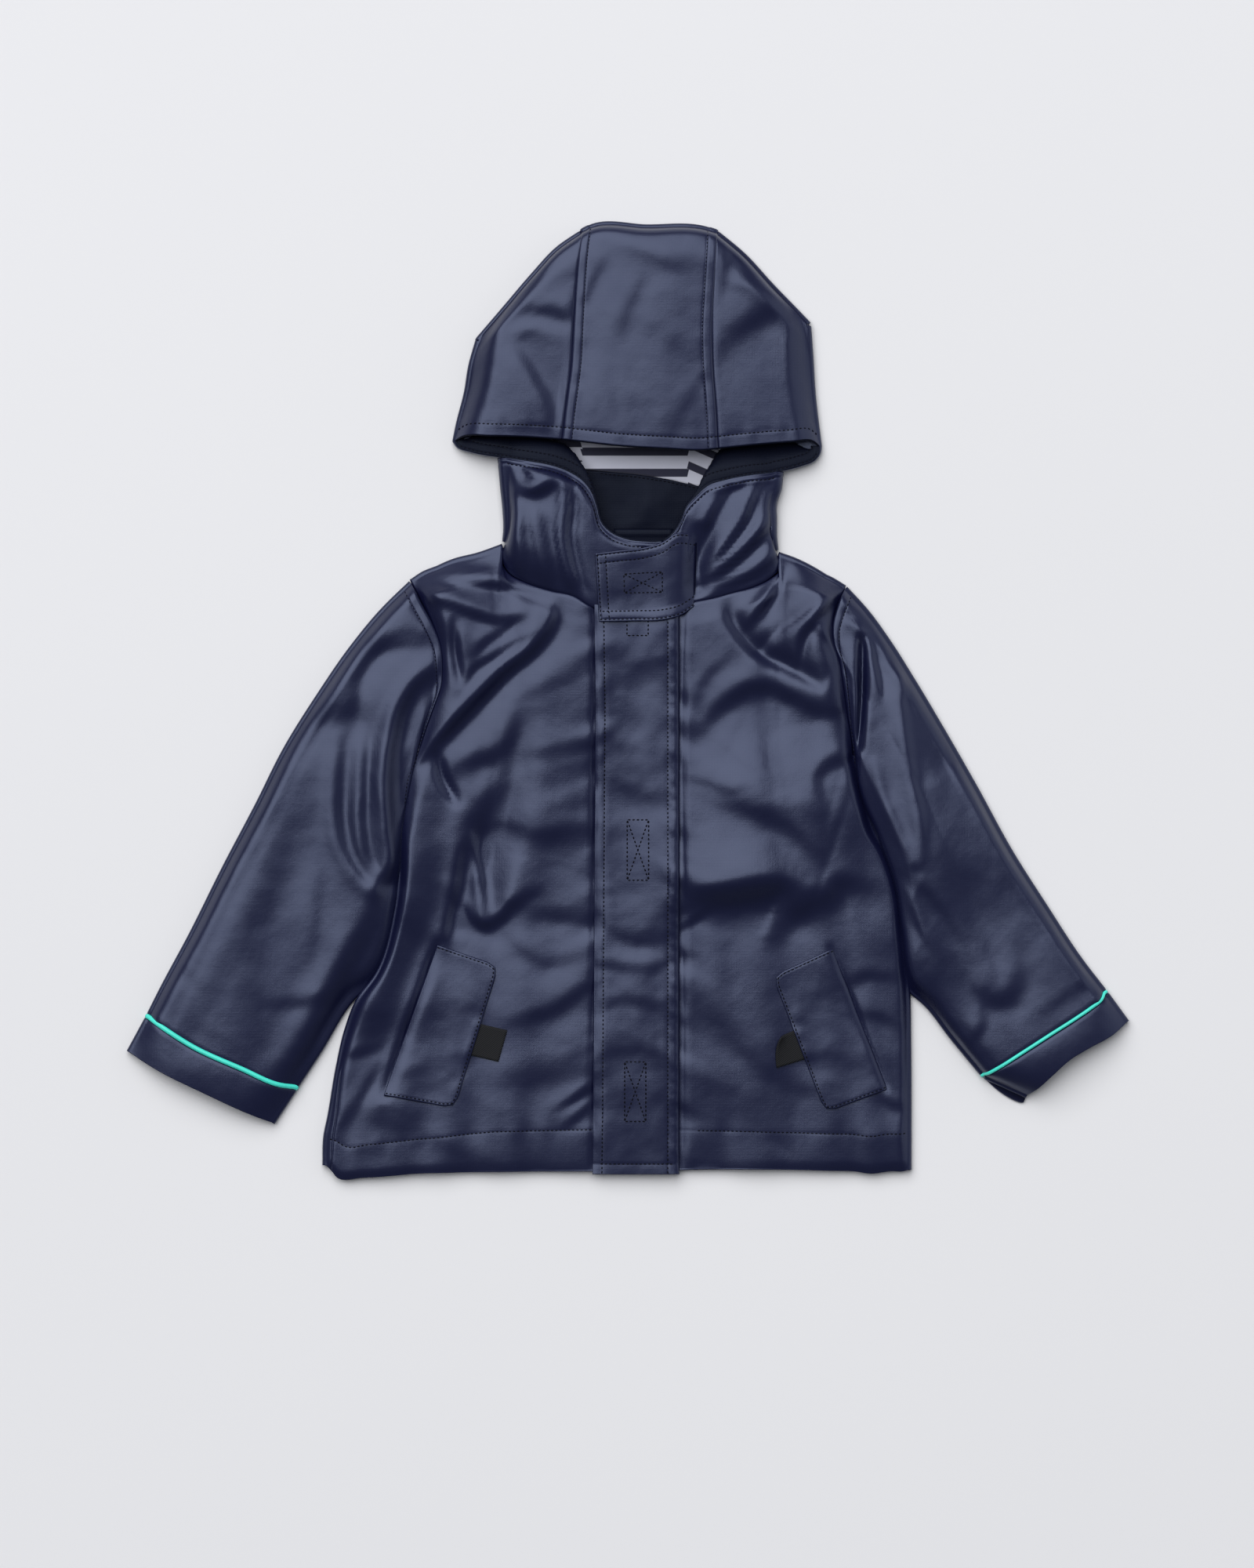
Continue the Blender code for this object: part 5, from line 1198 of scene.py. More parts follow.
def tube(upper, turn, peep=0.0):
    """A flattened tube: the upper layer, the lower one on the table and a roll on each side.

    peep is how far the lower layer shows beyond the upper one on the inner side, for each row.
    """
    lower = at_height(upper, TABLE)
    inner = fold_strip(upper[:, -1], TABLE, plan_normals(upper[:, -1], turn))
    if np.any(peep):
        away = plan_normals(upper[:, -1], turn) * np.broadcast_to(peep, len(upper))[:, None]
        crease = inner[-1] + (0.0, 0.0, 1.3)
        crease[:, :2] += 0.3 * away
        edge_up, edge_low = crease.copy(), inner[-1].copy()
        edge_up[:, :2] += 0.7 * away
        edge_low[:, :2] += away
        side = 0.5 * (edge_up + edge_low)
        side[:, :2] += 0.08 * away
        inner = np.array([*inner[:5], crease, edge_up, side, edge_low])
        lower[:, -1] = edge_low
    return [upper, lower, fold_strip(upper[:, 0], TABLE, plan_normals(upper[:, 0], -turn)), inner]


class Sleeve:
    """Edges of one sleeve and its cuff; turn is +1 on the left and -1 on the right."""

    def __init__(self, outer_rows, inner_rows, piping_rows, foot_rows, turn):
        self.turn = turn
        outer = edge(outer_rows)
        inner = edge(inner_rows)
        self.outer = inset_edge(outer, turn, (outer[1][:, 2] - TABLE) / 2 + CLOTH / 2)
        self.inner = inset_edge(inner, -turn, (inner[1][:, 2] - TABLE) / 2 + CLOTH / 2)
        self.piping = edge((tuple(self.outer[1][-1]), *piping_rows[1:-1], tuple(self.inner[1][-1])))
        run = self.outer[1][-1] - self.outer[1][-4] + self.inner[1][-1] - self.inner[1][-4]
        self.run = run[:2] / np.linalg.norm(run[:2])
        foot = edge(foot_rows)
        start = foot[1][0].copy()
        end = foot[1][-1].copy()
        start[:2] += FOLD_REACH * plan_normals(self.outer[1], turn)[-1]
        end[:2] += FOLD_REACH * plan_normals(self.inner[1], -turn)[-1]
        self.foot = drawn_to(foot, start, end, 12)

    def shifted(self, side, distance):
        """A side moved along the sleeve, towards the cuff."""
        points = side[1].copy()
        points[:, :2] += distance * self.run
        return side[0], points

    def swell(self, grid, u, v):
        """How far the upper layer rises between its folds, and where it comes out from under the body."""
        across_u, along_v = spread_shares(u, v)
        from_inner = run_from(grid, 1, last=True)
        rise = across(along_v, SLEEVE_RISE) * edge_fade(across_u, 0.11)
        level = FOLD_LAYER + 8.0 * np.sin(0.5 * math.pi * ramp(run_from(grid, 1), 8.0))
        rise += 0.8 * np.maximum(level - grid[..., 2] - rise, 0.0) * ramp(0.8 - across_u, 0.5)
        tucked = ramp(FOLD_LAYER - height_along(self.inner, v), 2.0)[:, None]
        lap = ease((from_inner - 1.5) / 6.0) * ramp(across_u - 0.35, 0.4)
        return rise + (3.2 - 1.3 * self.turn) * tucked * lap

    def upper(self, armhole, folds, seed):
        """The upper layer from the armhole to the piping."""
        u = shares_of(SLEEVE_WIDTH, PITCH, TUBE_STEPS, TUBE_STEPS)
        v = shares_of(SLEEVE_LENGTH, 1.05 * PITCH, SEAM_STEPS, (0.0, 0.8, 2.0))
        top = drawn_to(edge(armhole), self.outer[1][0], self.inner[1][0])
        grid = patch(top, self.shifted(self.piping, -1.5), self.outer, self.inner, u, v)
        across_u, _ = spread_shares(u, v)
        from_seam = run_from(grid, 0)
        from_cuff = run_from(grid, 0, last=True)
        from_side = np.minimum(run_from(grid, 1), run_from(grid, 1, last=True))
        pinned = edge_fade(across_u, 0.06) * ramp(from_seam, 10.0) * ramp(from_cuff, 16.0)
        height = self.swell(grid, u, v) + fold_height(grid, folds) * pinned
        height += (crumple(grid, seed, 44.0, 0.35) + crumple(grid, seed + 3, 17.0, 0.11)) * pinned
        height += across(from_seam, FELLED) * ramp(from_side, 6.0) + across(from_cuff, SUNK)
        by_seam = puckers(np.abs(from_seam - FELL_ROW), run_from(grid, 1), seed + 5, 7.0, 0.5, 5.0)
        grid = lifted(grid, height + by_seam * ramp(from_side, 8.0))
        grid[..., 2] = np.maximum(grid[..., 2], TABLE + 1.0)
        return grid

    def cuff(self, seed):
        """The upper layer of the cuff band, from the piping to its turned edge."""
        u = shares_of(CUFF_WIDTH, PITCH, TUBE_STEPS, TUBE_STEPS)
        v = shares_of(CUFF_LENGTH, SMALL_PITCH, (0.0, 0.6, 1.4), (0.0, 0.4, 1.0, 2.2))
        top = self.shifted(self.piping, 1.3)
        sides = [edge((tuple(top[1][k]), tuple(self.foot[1][k]))) for k in (0, -1)]
        grid = patch(top, self.foot, *sides, u, v)
        bulge = 0.8 * np.sin(math.pi * v)[:, None] * np.sin(math.pi * u)
        return lifted(grid, bulge + across(run_from(grid, 0), SUNK) + crumple(grid, seed, 24.0, 0.25) * bulge)

    def piping_ring(self, radius):
        """The closed line of the piping: over the upper layer, round both folds and back below."""
        upper = at(self.piping, np.linspace(0.0, 1.0, 49))[None]
        outward = self.outer[1][-1, :2] - self.inner[1][-1, :2]
        outward = np.array([outward / np.linalg.norm(outward)])
        low = radius + 0.1
        rolls = [fold_strip(upper[:, k], low, way)[1:-1, 0] for k, way in ((0, outward), (-1, -outward))]
        lower = at_height(upper, low)
        upper = upper.copy()
        upper[..., 2] = np.maximum(upper[..., 2] + 0.25, low)
        return np.concatenate((upper[0], rolls[1], lower[0, ::-1], rolls[0][::-1]))


def closed_cord(name, line, radius, finish, node):
    """A round cord along a closed line of points."""
    turns = np.linspace(0.0, 2 * math.pi, 14, endpoint=False)
    ahead = np.roll(line, -1, axis=0) - np.roll(line, 1, axis=0)
    ahead /= np.linalg.norm(ahead, axis=1)[:, None]
    sideways = np.cross(ahead, (0.0, 0.0, 1.0))
    sideways /= np.maximum(np.linalg.norm(sideways, axis=1), 1e-6)[:, None]
    upward = np.cross(sideways, ahead)
    form = bmesh.new()
    rings = [[form.verts.new(Vector(place + radius * (math.cos(t) * a + math.sin(t) * b)) * MM)
              for t in turns]
             for place, a, b in zip(line, sideways, upward)]
    for low, high in zip(rings, rings[1:] + rings[:1]):
        for a, b, c, d in zip(low, low[1:] + low[:1], high[1:] + high[:1], high):
            form.faces.new((a, b, c, d))
    bmesh.ops.recalc_face_normals(form, faces=form.faces)
    mesh = bpy.data.meshes.new(name)
    form.to_mesh(mesh)
    form.free()
    return add_piece(name, mesh, (finish,), node)


# ---------------------------------------------------------------- hood

def back_seam(y, turn):
    """Place of the hood's seam on its lower layer at y; turn is -1 on the left."""
    rows, left, right = np.transpose(HOOD_BACK_SEAMS)
    return (float(np.interp(y, rows, left if turn < 0 else right)), float(y), TABLE)


def neck_end(turn):
    """Foot of that seam, at the back neck."""
    return back_seam(float(across(back_seam(HOOD_BACK_SEAMS[0][0], turn)[0], BACK_NECK)), turn)


def brim_facing(panel, drop=1.3, depth=24.0):
    """The hem inside the brim: round the edge of the panel and back beneath it."""
    front = panel[0]
    rows = []
    for turn in np.linspace(0.0, math.pi, 5):
        row = front.copy()
        row[:, 1] -= 0.5 * drop * math.sin(turn)
        row[:, 2] -= 0.5 * drop * (1.0 - math.cos(turn))
        rows.append(row)
    run = run_from(panel, 0).mean(axis=1)
    for row in panel[1:][run[1:] <= depth]:
        rows.append(row - (0.0, 0.0, drop))
    return np.array(rows)


def lip_facing(lip, widths, turn):
    """The facing inside the front edge: as wide as it shows, then down into the hood."""
    inward = plan_normals(lip, -turn)
    spread = np.column_stack([np.convolve(np.pad(inward[:, k], 4, mode="edge"), np.ones(9) / 9, "valid")
                              for k in range(2)])
    spread /= np.linalg.norm(spread, axis=1)[:, None]
    width = across(lip[:, 0], widths)
    rows = []
    for distance, _ in LIP_FACING_FALL:
        shown = np.minimum(distance, width)
        past = np.maximum(distance - width, 0.0)
        row = lip.copy()
        row[:, :2] += (shown - 0.25 * past)[:, None] * spread
        row[:, 2] -= across(shown, LIP_FACING_FALL) + 0.9 * past
        row[:, 2] = np.maximum(row[:, 2], np.minimum(lip[:, 2], 3.3 - 0.01 * distance))
        rows.append(row)
    return np.array(rows)


def brim_height(grid, seed):
    """The sunk hem row along the brim and the puckers beside it."""
    from_brim = run_from(grid, 0)
    ripples = puckers(np.abs(from_brim - HOOD_HEM_ROW), grid[..., 0], seed + 3, 6.0, 0.3, 5.0)
    return ripples - 0.16 * bell(from_brim, HOOD_HEM_ROW, 0.8)


def hood_crown(brim, crown_side, crown_top, seam, folds, u, v, turn, seed):
    """The upper layer of a hood side, from the brim to the crown's fold."""
    outline = joined_edge((crown_side, 0.5), (crown_top, 0.5))
    reach = np.interp(run_along(outline[1]), (0.0, 14.0), (1.2, (FOLD_LAYER - TABLE) / 2))
    outline = inset_edge(outline, turn, reach + CLOTH / 2)
    outline[1][-1, :2] = (seam[-1][0], seam[-1][1] - FOLD_REACH)
    corner = len(outline[0]) // 2
    left = (outline[0][:corner] * 2, outline[1][:corner])
    head = (outline[0][corner:] * 2 - 1, outline[1][corner:])
    seam_line = edge(seam)
    seam_line[1][:, 1] -= FOLD_REACH * seam_line[0]**8
    crown = patch(drawn_to(edge(brim), start=left[1][0], power=10), head, left, seam_line, u, v)
    across_u, along_v = spread_shares(u, v)
    crown_end = edge_fade(np.maximum(along_v, 0.5), 0.2)
    height = (8.6 - 1.6 * turn) * (1.0 - across_u) * edge_fade(np.minimum(across_u, 0.5), 0.3) * crown_end
    height += fold_height(crown, folds) * edge_fade(across_u, 0.08) * edge_fade(along_v, 0.08)
    height += crumple(crown, seed, 40.0, 0.3) * edge_fade(across_u, 0.1) * edge_fade(along_v, 0.1)
    height += across(run_from(crown, 1, last=True), SUNK) + brim_height(crown, seed) * ramp(across_u, 0.1)
    return lifted(crown, height, FOLD_LAYER)


def hood_throat(neck_seam, lip, fold_line, folds, turn, seed):
    """The front of the neck, folded back over the hood: from the neck seam up to the lip."""
    u = shares_of(THROAT_WIDTH, PITCH, end=(0.0, 1.0))
    v = shares_of(THROAT_LENGTH, PITCH, EDGE_STEPS, LIP_STEPS)
    foot = drawn_to(edge(neck_seam), start=fold_line[1][0])
    lip = drawn_to(even_side(lip), start=fold_line[1][-1], power=10)[1]
    run = run_along(lip)
    throat = patch(foot, (run / run[-1], lip), fold_line, edge((tuple(foot[1][-1]), tuple(lip[-1]))), u, v)
    across_u, along_v = spread_shares(u, v)
    from_lip = run_from(throat, 0, last=True)
    from_seam = run_from(throat, 0)
    pinned = edge_fade(across_u, 0.05) * ramp(from_seam, 8.0) * ramp(from_lip, 8.0)
    height = (5.2 - 2.8 * turn) * (1.0 - across_u) * edge_fade(np.minimum(across_u, 0.5), 0.16)
    height *= np.sin(0.5 * math.pi * ramp(along_v, 0.3)) * edge_fade(np.maximum(along_v, 0.5), 0.12)
    height += fold_height(throat, folds) * pinned + crumple(throat, seed + 7, 30.0, 0.4) * pinned
    height += across(from_seam, SUNK) + across(from_lip, LIP_EDGE) - 0.4 * bell(from_lip, LIP_ROW, 0.6)
    elastic = puckers(np.abs(from_lip - 4.4), run_from(throat, 1), seed + 4, 5.0, 0.7, 3.0)
    height += elastic * ramp(from_lip - 1.6, 1.5) * edge_fade(across_u, 0.15)
    return lifted(throat, height, FOLD_LAYER)


def hood_rim(tip, crown, turn):
    """The fold from the tip round the side and the top of the crown to the lower layer."""
    rim = np.concatenate((tip[::-1][:-1], crown[:, 0], crown[-1, 1:]))
    run = run_along(rim[:, :2])
    run -= run[len(tip) - 1]
    radius = (rim[:, 2] - TABLE) / 2
    reach = np.interp(run, (-6.0, 0.0, 14.0), (TIP_REACH, 1.2, radius.min()))
    reach = np.where(run > 14.0, radius, reach)
    return fold_strip(rim, TABLE, plan_normals(rim, -turn), reach)


def hood_lower(crown, tip, fold_line, seam_top, u, v, turn):
    """The hood's lower layer on the table, from the mouth to the crown, and the neck below the mouth."""
    tip_end = len(tip) - 1
    corner = at_height(fold_line[1][-1], TABLE)
    bend = back_seam(MOUTH_BACK_Y, turn)
    mouth = (np.concatenate((u[:tip_end + 1], (TIP_SHARE, 1.0))),
             np.concatenate((at_height(tip, TABLE), (corner, bend))))
    lower = patch(mouth, (u, at_height(crown[-1], TABLE)), (v, at_height(crown[:, 0], TABLE)),
                  edge((bend, (*seam_top, TABLE))), u, v)
    shares = (u[tip_end:] - TIP_SHARE) / (1 - TIP_SHARE)
    foot = edge((tuple(at_height(fold_line[1][0], TABLE)), neck_end(turn)))
    neck = patch(foot, (shares, lower[0][tip_end:].copy()), (fold_line[0], at_height(fold_line[1], TABLE)),
                 edge((neck_end(turn), bend)), shares,
                 shares_of(THROAT_LENGTH, PITCH, EDGE_STEPS, LIP_STEPS))
    return lower, neck


def hood_side(brim, crown_side, crown_top, seam, lip, neck_fold, neck_seam, facing_widths, folds, turn, seed):
    """A hood side: crown over the lower layer, with the front of the neck folded back over it.

    turn is -1 on the left. Columns run from the outline inwards, rows from the brim to the crown.
    Returns its grids, then the crown, the throat and the lip's facing for the sewing.
    """
    tip_shares = np.linspace(0.0, 1.0, 15)**1.5
    u = joined_shares(tip_shares, TIP_SHARE, shares_of(CROWN_SIDE_WIDTH, PITCH, end=EDGE_STEPS)[1:])
    v = shares_of(CROWN_LENGTH, PITCH, BRIM_STEPS, (0.0, 1.6))
    crown = hood_crown(brim, crown_side, crown_top, seam, folds[0], u, v, turn, seed)
    lip_points = edge(lip)[1]
    split = int(np.abs(lip_points[:, :2] - np.array(neck_fold[-1][:2])).sum(axis=1).argmin())
    fold_line = edge(neck_fold)
    fold_line = inset_edge(fold_line, turn, (fold_line[1][:, 2] - TABLE) / 2 + CLOTH / 2)
    tip = even_side(inset(lip_points[:split + 1], TIP_REACH + CLOTH / 2, -turn))
    tip = at(drawn_to(tip, crown[0, 0], fold_line[1][-1], 4), tip_shares)
    crown_fold = hood_rim(tip, crown, turn)
    lower, neck_back = hood_lower(crown, tip, fold_line, (seam[-1][0], seam[-1][1] - FOLD_REACH), u, v, turn)
    throat = hood_throat(neck_seam, lip_points[split:], fold_line, folds[1], turn, seed)
    neck_edge = fold_strip(throat[:, 0], TABLE, plan_normals(throat[:, 0], -turn))
    joint = np.array((crown_fold[:, 0], neck_edge[:, -1]))
    band = lip_facing(np.concatenate((tip, throat[-1, 1:])), facing_widths, turn)
    grids = [crown, crown_fold, (lower, 1), neck_back, neck_edge, joint, throat, (brim_facing(crown), 1),
             (band, 1)]
    return grids, crown, throat, band


def hood_centre(seed):
    """The centre strip: from the brim over the crown's fold and down the lower layer to the neck."""
    u = shares_of(CROWN_CENTRE_WIDTH, PITCH, SEAM_STEPS, SEAM_STEPS)
    v = shares_of(CROWN_LENGTH, PITCH, BRIM_STEPS, (0.0, 1.6))
    left, right = edge(HOOD_SEAM_LEFT), edge(HOOD_SEAM_RIGHT)
    for line in (left, right):
        line[1][:, 1] -= FOLD_REACH * line[0]**8
    head = edge(CROWN_TOP_CENTRE)
    head[1][:, 1] -= FOLD_REACH
    upper = patch(edge(BRIM_CENTRE), head, left, right, u, v)
    across_u, along_v = spread_shares(u, v)
    from_seam = np.minimum(run_from(upper, 1), run_from(upper, 1, last=True))
    height = 1.4 * edge_fade(across_u, 0.4) * edge_fade(np.maximum(along_v, 0.5), 0.14)
    pinned = edge_fade(across_u, 0.12) * edge_fade(along_v, 0.08)
    height += fold_height(upper, CROWN_FOLDS_CENTRE) * pinned + crumple(upper, seed, 36.0, 0.4) * pinned
    by_seam = puckers(np.abs(from_seam - FELL_ROW), upper[..., 1], seed + 4, 7.0, 0.25, 4.0)
    height += across(from_seam, FELLED) + by_seam * edge_fade(along_v, 0.05) + brim_height(upper, seed)
    upper = lifted(upper, height, FOLD_LAYER)
    fold = fold_strip(upper[-1], TABLE, plan_normals(upper[-1], 1))
    sides = []
    for turn, top in ((-1, upper[-1, 0]), (1, upper[-1, -1])):
        bend = back_seam(MOUTH_BACK_Y, turn)
        sides.append(joined_edge(((neck_end(turn), bend), 0.3), ((bend, tuple(at_height(top, TABLE))), 0.7)))
    foot = edge((neck_end(-1), (*BACK_NECK[2], TABLE), neck_end(1)))
    lower = patch(foot, (u, at_height(upper[-1], TABLE)), *sides, u,
                  shares_of(HOOD_BACK_LENGTH, HIDDEN_PITCH))
    return [upper, fold, lower, (brim_facing(upper), 1)], upper


def flat_patch(foot, head, left, right, pitch, height):
    """A patch on one level between four sides of plan points."""
    sides = [plan_edge((rows, 1.0)) for rows in (foot, head, left, right)]
    u, v = shares_of(LINING_WIDTH, pitch), shares_of(LINING_LENGTH, pitch)
    return at_height(patch(*sides, u, v), height)


def add_stripes(item):
    """UV in stripes, counted by V; the stripes are set off at the hood's seams, and slant on the right."""
    stripe, first_stripe_y = 13.5, 143.4
    left_seam, right_seam = -29.5, 38.5
    layer = item.data.uv_layers.new(name="stripes")
    for face in item.data.polygons:
        middle = face.center.x / MM
        for corner in face.loop_indices:
            x, y, _ = item.data.vertices[item.data.loops[corner].vertex_index].co / MM
            if middle > right_seam:
                y += 0.44 * (x - right_seam) - 5.0
            elif middle < left_seam:
                y -= 5.4
            layer.data[corner].uv = (x / stripe, (y - first_stripe_y) / stripe)


def lining_points():
    """The striped lining inside the hood, as far as the mouth shows it."""
    grid = flat_patch(LINING_FOOT, LINING_HEAD, LINING_LEFT, LINING_RIGHT, 1.3, LINING_LAYER)
    return lifted(grid, 1.0 + crumple(grid, 81, 22.0, 0.6))


def neck_facing_points():
    """The facing between the lining and the back neck."""
    grid = flat_patch(FACING_FOOT, LINING_FOOT, (FACING_FOOT[0], LINING_FOOT[0]),
                      (FACING_FOOT[-1], LINING_FOOT[-1]), 3.0, LINING_LAYER)
    return lifted(grid, 1.0 + crumple(grid, 83, 20.0, 0.5) + fold_height(grid, FACING_FOLDS))


# ---------------------------------------------------------------- pieces that lie on the coat

def strip(left_x, right_x, foot_y, head_y, u, v):
    """A straight strip at height 0."""
    across_u, along_v = spread_shares(u, v)
    x = left_x + (right_x - left_x) * across_u
    y = foot_y + (head_y - foot_y) * along_v
    return np.dstack((x, y, np.zeros_like(x)))


def rounded(corners, radius, which):
    """Corner points in order with the named ones rounded, each as three points."""
    rows = []
    for k, corner in enumerate(corners):
        if k not in which:
            rows.append([tuple(corner)])
            continue
        here = np.array(corner)
        ends = []
        for other in (corners[k - 1], corners[(k + 1) % len(corners)]):
            way = np.array(other) - here
            ends.append(here + radius * way / np.linalg.norm(way))
        middle = 0.25 * ends[0] + 0.5 * here + 0.25 * ends[1]
        rows.append([tuple(ends[0]), tuple(middle), tuple(ends[1])])
    return rows


def dressed_edges(grid, sides, table):
    """Heights near the named sides: f foot, h head, l left, r right of the grid."""
    runs = {"f": run_from(grid, 0), "h": run_from(grid, 0, last=True),
            "l": run_from(grid, 1), "r": run_from(grid, 1, last=True)}
    return across(np.min([runs[name] for name in sides], axis=0), table)


def storm_flap_points(fronts):
    """The flap over the zip, laid on the fronts: its grid, and the same with its folds and rows."""
    u = shares_of(FLAP_WIDTH, SMALL_PITCH, FLAP_LEFT_STEPS, FLAP_RIGHT_STEPS)
    v = shares_of(FLAP_LENGTH, PITCH, FLAP_FOOT_STEPS, (0.0, 1.0))
    flap = strip(FLAP_LEFT_X, FLAP_RIGHT_X, *STORM_FLAP_Y, u, v)
    flap[..., 0] += across(flap[..., 1], FLAP_SWAY) * (1 - u[None, :])**4
    flap = laid(flap, fronts, CLOTH, 14)
    x, y = flap[..., 0], flap[..., 1]
    from_left, from_right = run_from(flap, 1), run_from(flap, 1, last=True)
    height = 0.9 + crumple(flap, 91, 26.0, 0.4) + crumple(flap, 92, 12.0, 0.12)
    height += fold_height(flap, FLAP_FOLDS)
    height -= 0.2 * bell(from_left, FLAP_LEFT_ROW, 0.8) + 0.22 * bell(from_right, FLAP_RIGHT_ROW, 0.8)
    height -= 0.2 * bell(run_from(flap, 0), FLAP_FOOT_ROW, 0.8)
    roping = np.sin((y + 1.2 * x) * 2 * math.pi / 8.2 + 2.0 * noise(y / 20, x / 20, 95))
    height += 0.45 * roping * bell(from_right, 3.6, 2.4)
    height += puckers(from_left, y, 97, 9.0, 0.5, 6.0) + across(from_right, FLAP_SEAM)
    return flap, lifted(flap, height)


def zip_guard_points():
    """The strip behind the zip; only its head shows in the neck."""
    guard = strip(GUARD_LEFT_X, GUARD_RIGHT_X, *GUARD_Y, shares_of(GUARD_WIDTH, 3.0),
                  shares_of(GUARD_LENGTH, 4.0, end=GUARD_HEAD_STEPS))
    guard[..., 2] = across(guard[..., 1], GUARD_HEIGHT) + dressed_edges(guard, "h", GUARD_HEAD)
    return guard


def neck_tab_points(carriers):
    """The tab across the throat: its grid laid on the carriers, and the same with its edges and rows."""
    sides = (NECK_TAB_FOOT, NECK_TAB_TOP, (NECK_TAB_FOOT[0], NECK_TAB_TOP[0]),
             (NECK_TAB_FOOT[-1], NECK_TAB_TOP[-1]))
    u = shares_of(TAB_WIDTH, SMALL_PITCH, TAB_STEPS, (0.0, 2.0))
    v = shares_of(TAB_LENGTH, SMALL_PITCH, TAB_STEPS, TAB_STEPS)
    tab = patch(*[plan_edge((rows, 1.0)) for rows in sides], u, v)
    tab = laid(tab, carriers, CLOTH, 30)
    height = 1.3 + crumple(tab, 101, 24.0, 0.4) + dressed_edges(tab, "fhl", TAB_EDGE)
    height -= across(run_from(tab, 1, last=True), TAB_SEAM)
    height -= across(tab[..., 0], TAB_DROP) * across(tab[..., 1], TAB_DROP_SHARE)
    return tab, lifted(tab, height)


def pull_tab_points(rows, front, rolled):
    """The end of the tape that shows below a pocket flap; the right one's corner rolls up."""
    root_upper, end_upper, end_lower, root_lower = rows
    sides = ((root_lower, end_lower), (root_upper, end_upper), (root_lower, root_upper),
             (end_lower, end_upper))
    shares = shares_of(TAPE_WIDTH, 1.4)
    tape = laid(patch(*[plan_edge((side, 1.0)) for side in sides], shares, shares), [front], TAPE, 6)
    if rolled:
        across_u, along_v = spread_shares(shares, shares)
        tape[..., 2] += 4.4 * (across_u * along_v)**1.6
        tape[..., 0] += 5.0 * (across_u * along_v)**3
    return tape


def pocket_flap_points(corners, carriers, seed, tucked):
    """A slanted flap with rounded inner corners: its grid laid on the carriers, and with its edges."""
    outer_foot, outer_head, inner_head, inner_foot = corners
    upper, lower = rounded(corners, POCKET_CORNER, (2, 3))[2:]
    foot = plan_edge(((outer_foot, lower[2]), 0.85), ((lower[2], lower[1]), 0.15))
    head = plan_edge(((outer_head, upper[0]), 0.85), ((upper[0], upper[1]), 0.15))
    inner = plan_edge(((lower[1], lower[0]), 0.06), ((lower[0], upper[2]), 0.88),
                      ((upper[2], upper[1]), 0.06))
    outer = plan_edge(((outer_foot, outer_head), 1.0))
    u = shares_of(POCKET_WIDTH, SMALL_PITCH, EDGE_STEPS, POCKET_STEPS)
    v = shares_of(POCKET_LENGTH, SMALL_PITCH, POCKET_STEPS, POCKET_STEPS)
    grid = laid(patch(foot, head, outer, inner, u, v), carriers, CLOTH, 20)
    height = 0.5 + crumple(grid, seed, 26.0, 0.4) + dressed_edges(grid, "fhr", POCKET_EDGE)
    if tucked:
        height -= 1.8 * np.exp(-run_from(grid, 1) / 1.5)
    return grid, lifted(grid, height)


# ---------------------------------------------------------------- stitching

def stitch_form():
    """Points and faces of one lockstitch: a short thread that dives at both ends.

    The sphere is welded in an order that changes from run to run, so both are sorted.
    """
    bpy.ops.object.select_all(action="DESELECT")
    bpy.ops.mesh.primitive_uv_sphere_add(segments=6, ring_count=5, radius=0.5)
    item = bpy.context.object
    bpy.ops.object.mode_set(mode="EDIT")
    bpy.ops.mesh.select_all(action="SELECT")
    bpy.ops.transform.rotate(value=math.pi / 2, orient_axis="Y", center_override=(0.0, 0.0, 0.0))
    bpy.ops.object.mode_set(mode="OBJECT")
    points = np.round([vertex.co for vertex in item.data.vertices], 6) + 0.0
    order = np.lexsort(points.T)
    points = points[order]
    rank = np.argsort(order)
    faces = []
    for face in item.data.polygons:
        corners = [int(rank[k]) for k in face.vertices]
        first = corners.index(min(corners))
        faces.append(tuple(corners[first:] + corners[:first]))
    bpy.data.objects.remove(item, do_unlink=True)
    points[:, 2] -= 0.9 * points[:, 0]**2
    return points, sorted(faces)


stitch_points, stitch_faces = stitch_form()


def stitched(name, lines, carriers, pitch=STITCH_PITCH, size=THREAD):
    """Rows of stitches along plan lines, sunk into the uppermost of the carriers."""
    trees = surfaces(carriers)
    vertices = []
    faces = []
    random = np.random.default_rng(len(name))
    for line in lines:
        plan = np.array(line, float)[:, :2]
        run = run_along(plan)
        count = max(1, round(run[-1] / pitch))
        length = 0.64 * run[-1] / count
        for middle in (np.arange(count) + 0.5) * run[-1] / count:
            place, before, ahead = (np.array([np.interp(middle + step, run, plan[:, k]) for k in range(2)])
                                    for step in (0.0, -0.5, 0.5))
            found = top_under(*place, trees)
            along = Vector((*(ahead - before), 0.0))
            if found is None or along.length < 1e-6:
                continue
            hit, normal = found
            along = (along - normal * along.dot(normal)).normalized()
            along = (along + 0.08 * random.uniform(-1, 1) * normal.cross(along)).normalized()
            sideways = normal.cross(along)
            base = len(vertices)
            for x, y, z in stitch_points:
                spot = along * (x * length) + sideways * (y * size) + normal * (z * size * 0.8 + 0.2)
                vertices.append(hit + spot * MM)
            faces += [tuple(base + k for k in face) for face in stitch_faces]
    mesh = bpy.data.meshes.new(name)
    mesh.from_pydata(vertices, [], faces)
    return add_piece(name, mesh, (thread,))


